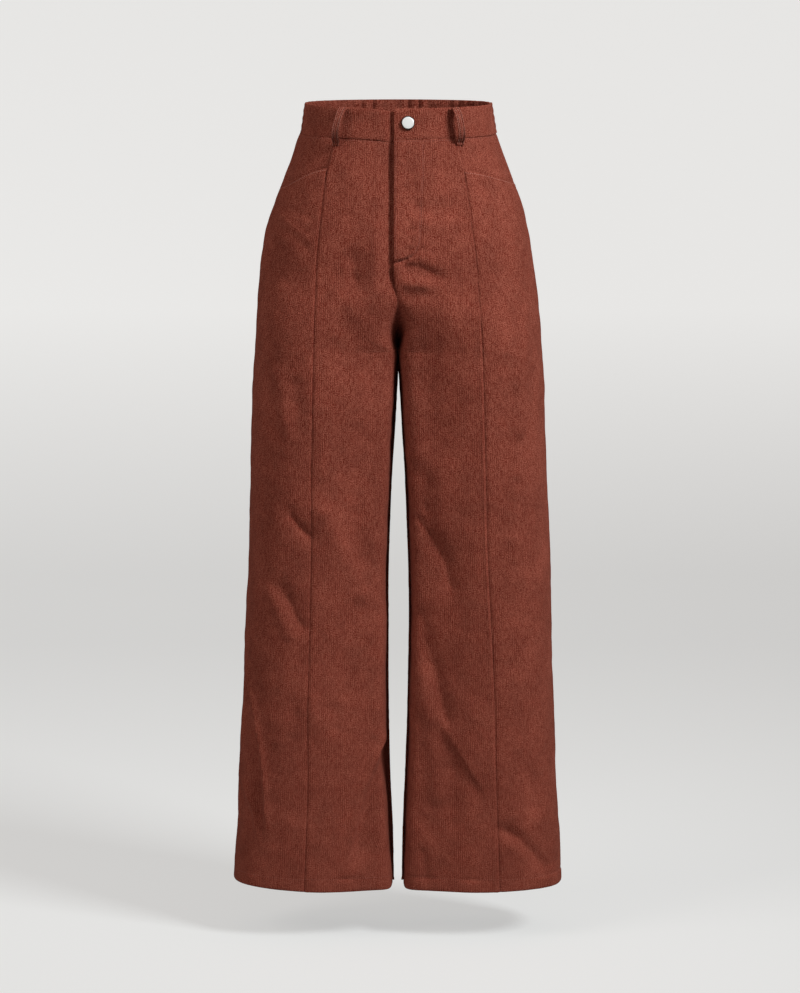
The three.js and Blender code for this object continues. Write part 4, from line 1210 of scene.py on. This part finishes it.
def add_button():
    outward = Vector(outward_of_band(LEFT, BUTTON_AROUND))
    seat = Vector(plain_form(LEFT, BUTTON_Z, BUTTON_AROUND)) + outward * (BAND_OUT + 0.6)
    facing = (outward + Vector((0, 0, BUTTON_TILT))).normalized()
    turned = bmesh.new()
    profile = [turned.verts.new((r, 0, h)) for r, h in BUTTON_PROFILE]
    edges = [turned.edges.new(pair) for pair in zip(profile[:-1], profile[1:])]
    bmesh.ops.spin(
        turned, geom=profile + edges, cent=(0, 0, 0), axis=(0, 0, 1),
        angle=2 * math.pi, steps=48, use_merge=True,
    )
    bmesh.ops.remove_doubles(turned, verts=turned.verts, dist=1e-4)
    bmesh.ops.recalc_face_normals(turned, faces=turned.faces)
    # Faces past the flat face take the dark edge material, which paints the shade round the button.
    for face in turned.faces:
        face.material_index = int(face.calc_center_median().xy.length > BUTTON_FACE)
    turn = facing.to_track_quat("Z", "Y").to_matrix().to_4x4()
    bmesh.ops.transform(
        turned, matrix=Matrix.Scale(MM, 4) @ Matrix.Translation(seat) @ turn, verts=turned.verts
    )
    mesh = bpy.data.meshes.new("button_metal_cap")
    turned.to_mesh(mesh)
    turned.free()
    mesh.materials.append(METAL)
    mesh.materials.append(METAL_EDGE_SHADE)
    piece = new_object("button_metal_cap", mesh)
    finish_mesh(piece, 60)
    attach(piece, "root")
    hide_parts("button")


add_button()

# Floor, backdrop and light

FLOOR_LEVEL = -1.066


def add_studio():
    sweep = bmesh.new()
    outline = [(-6.0, 0.0), (2.2, 0.0)]
    outline += [(2.2 + 1.6 * math.sin(t), 1.6 - 1.6 * math.cos(t)) for t in np.linspace(0.1, math.pi / 2, 14)]
    outline += [(3.8, 6.0)]
    low = [sweep.verts.new((-6.0, y, FLOOR_LEVEL + z)) for y, z in outline]
    edges = [sweep.edges.new(pair) for pair in zip(low[:-1], low[1:])]
    grown = bmesh.ops.extrude_edge_only(sweep, edges=edges)
    far = [v for v in grown["geom"] if isinstance(v, bmesh.types.BMVert)]
    bmesh.ops.translate(sweep, verts=far, vec=(12.0, 0, 0))
    bmesh.ops.recalc_face_normals(sweep, faces=sweep.faces)
    mesh = bpy.data.meshes.new("studio_sweep")
    sweep.to_mesh(mesh)
    sweep.free()
    mesh.polygons.foreach_set("use_smooth", np.ones(len(mesh.polygons), bool))
    material, tree, shader = new_material("studio paper with painted glow")
    shader.inputs["Base Color"].default_value = (0.38, 0.38, 0.376, 1.0)
    shader.inputs["Roughness"].default_value = 0.95
    shader.inputs["Specular IOR Level"].default_value = 0.0
    # The paper glows for the camera alone, as if lit on its own, and more on the wall than on the floor: painted
    # light that shows it pale but gives the cloth little light.
    seen = node(tree, "ShaderNodeLightPath").outputs["Is Camera Ray"]
    shader.inputs["Emission Color"].default_value = (1.0, 1.0, 0.99, 1.0)
    height = node(tree, "ShaderNodeSeparateXYZ")
    put(tree, height.inputs[0], node(tree, "ShaderNodeTexCoord").outputs["Object"])
    wall = calc(tree, "MULTIPLY_ADD", height.outputs["Z"], 2.0, 2.0, clamp=True)
    glow = calc(tree, "MULTIPLY_ADD", wall, 0.19, 0.515)
    put(tree, shader.inputs["Emission Strength"], calc(tree, "MULTIPLY", seen, glow))
    mesh.materials.append(material)
    paper = new_object("studio_sweep", mesh)


def add_light(name, place, size, power, aim, spread, colour):
    data = bpy.data.lights.new(name, "AREA")
    data.shape = "RECTANGLE"
    data.size, data.size_y = size
    data.energy = power
    data.spread = math.radians(spread)
    data.color = colour
    lamp = bpy.data.objects.new(name, data)
    bpy.context.scene.collection.objects.link(lamp)
    lamp.location = place
    lamp.rotation_mode = "QUATERNION"
    lamp.rotation_quaternion = (Vector(aim) - Vector(place)).to_track_quat("-Z", "Y")


def add_world(strength):
    world = bpy.data.worlds.new("soft studio")
    world.use_nodes = True
    shade = world.node_tree.nodes["Background"]
    shade.inputs["Color"].default_value = (1.0, 0.90, 0.83, 1.0)
    shade.inputs["Strength"].default_value = strength
    bpy.context.scene.world = world


add_studio()
add_world(0.24)
add_light("key", (2.03, -1.71, 1.55), (1.0, 1.0), 10.8, (0, 0, -0.33), 60, (1.0, 1.05, 1.07))
add_light("side fill", (-2.4, -1.6, 1.6), (1.8, 1.8), 12.4, (0, 0, 0), 115, (1.0, 0.97, 0.94))
bpy.context.scene.view_settings.view_transform = "Standard"
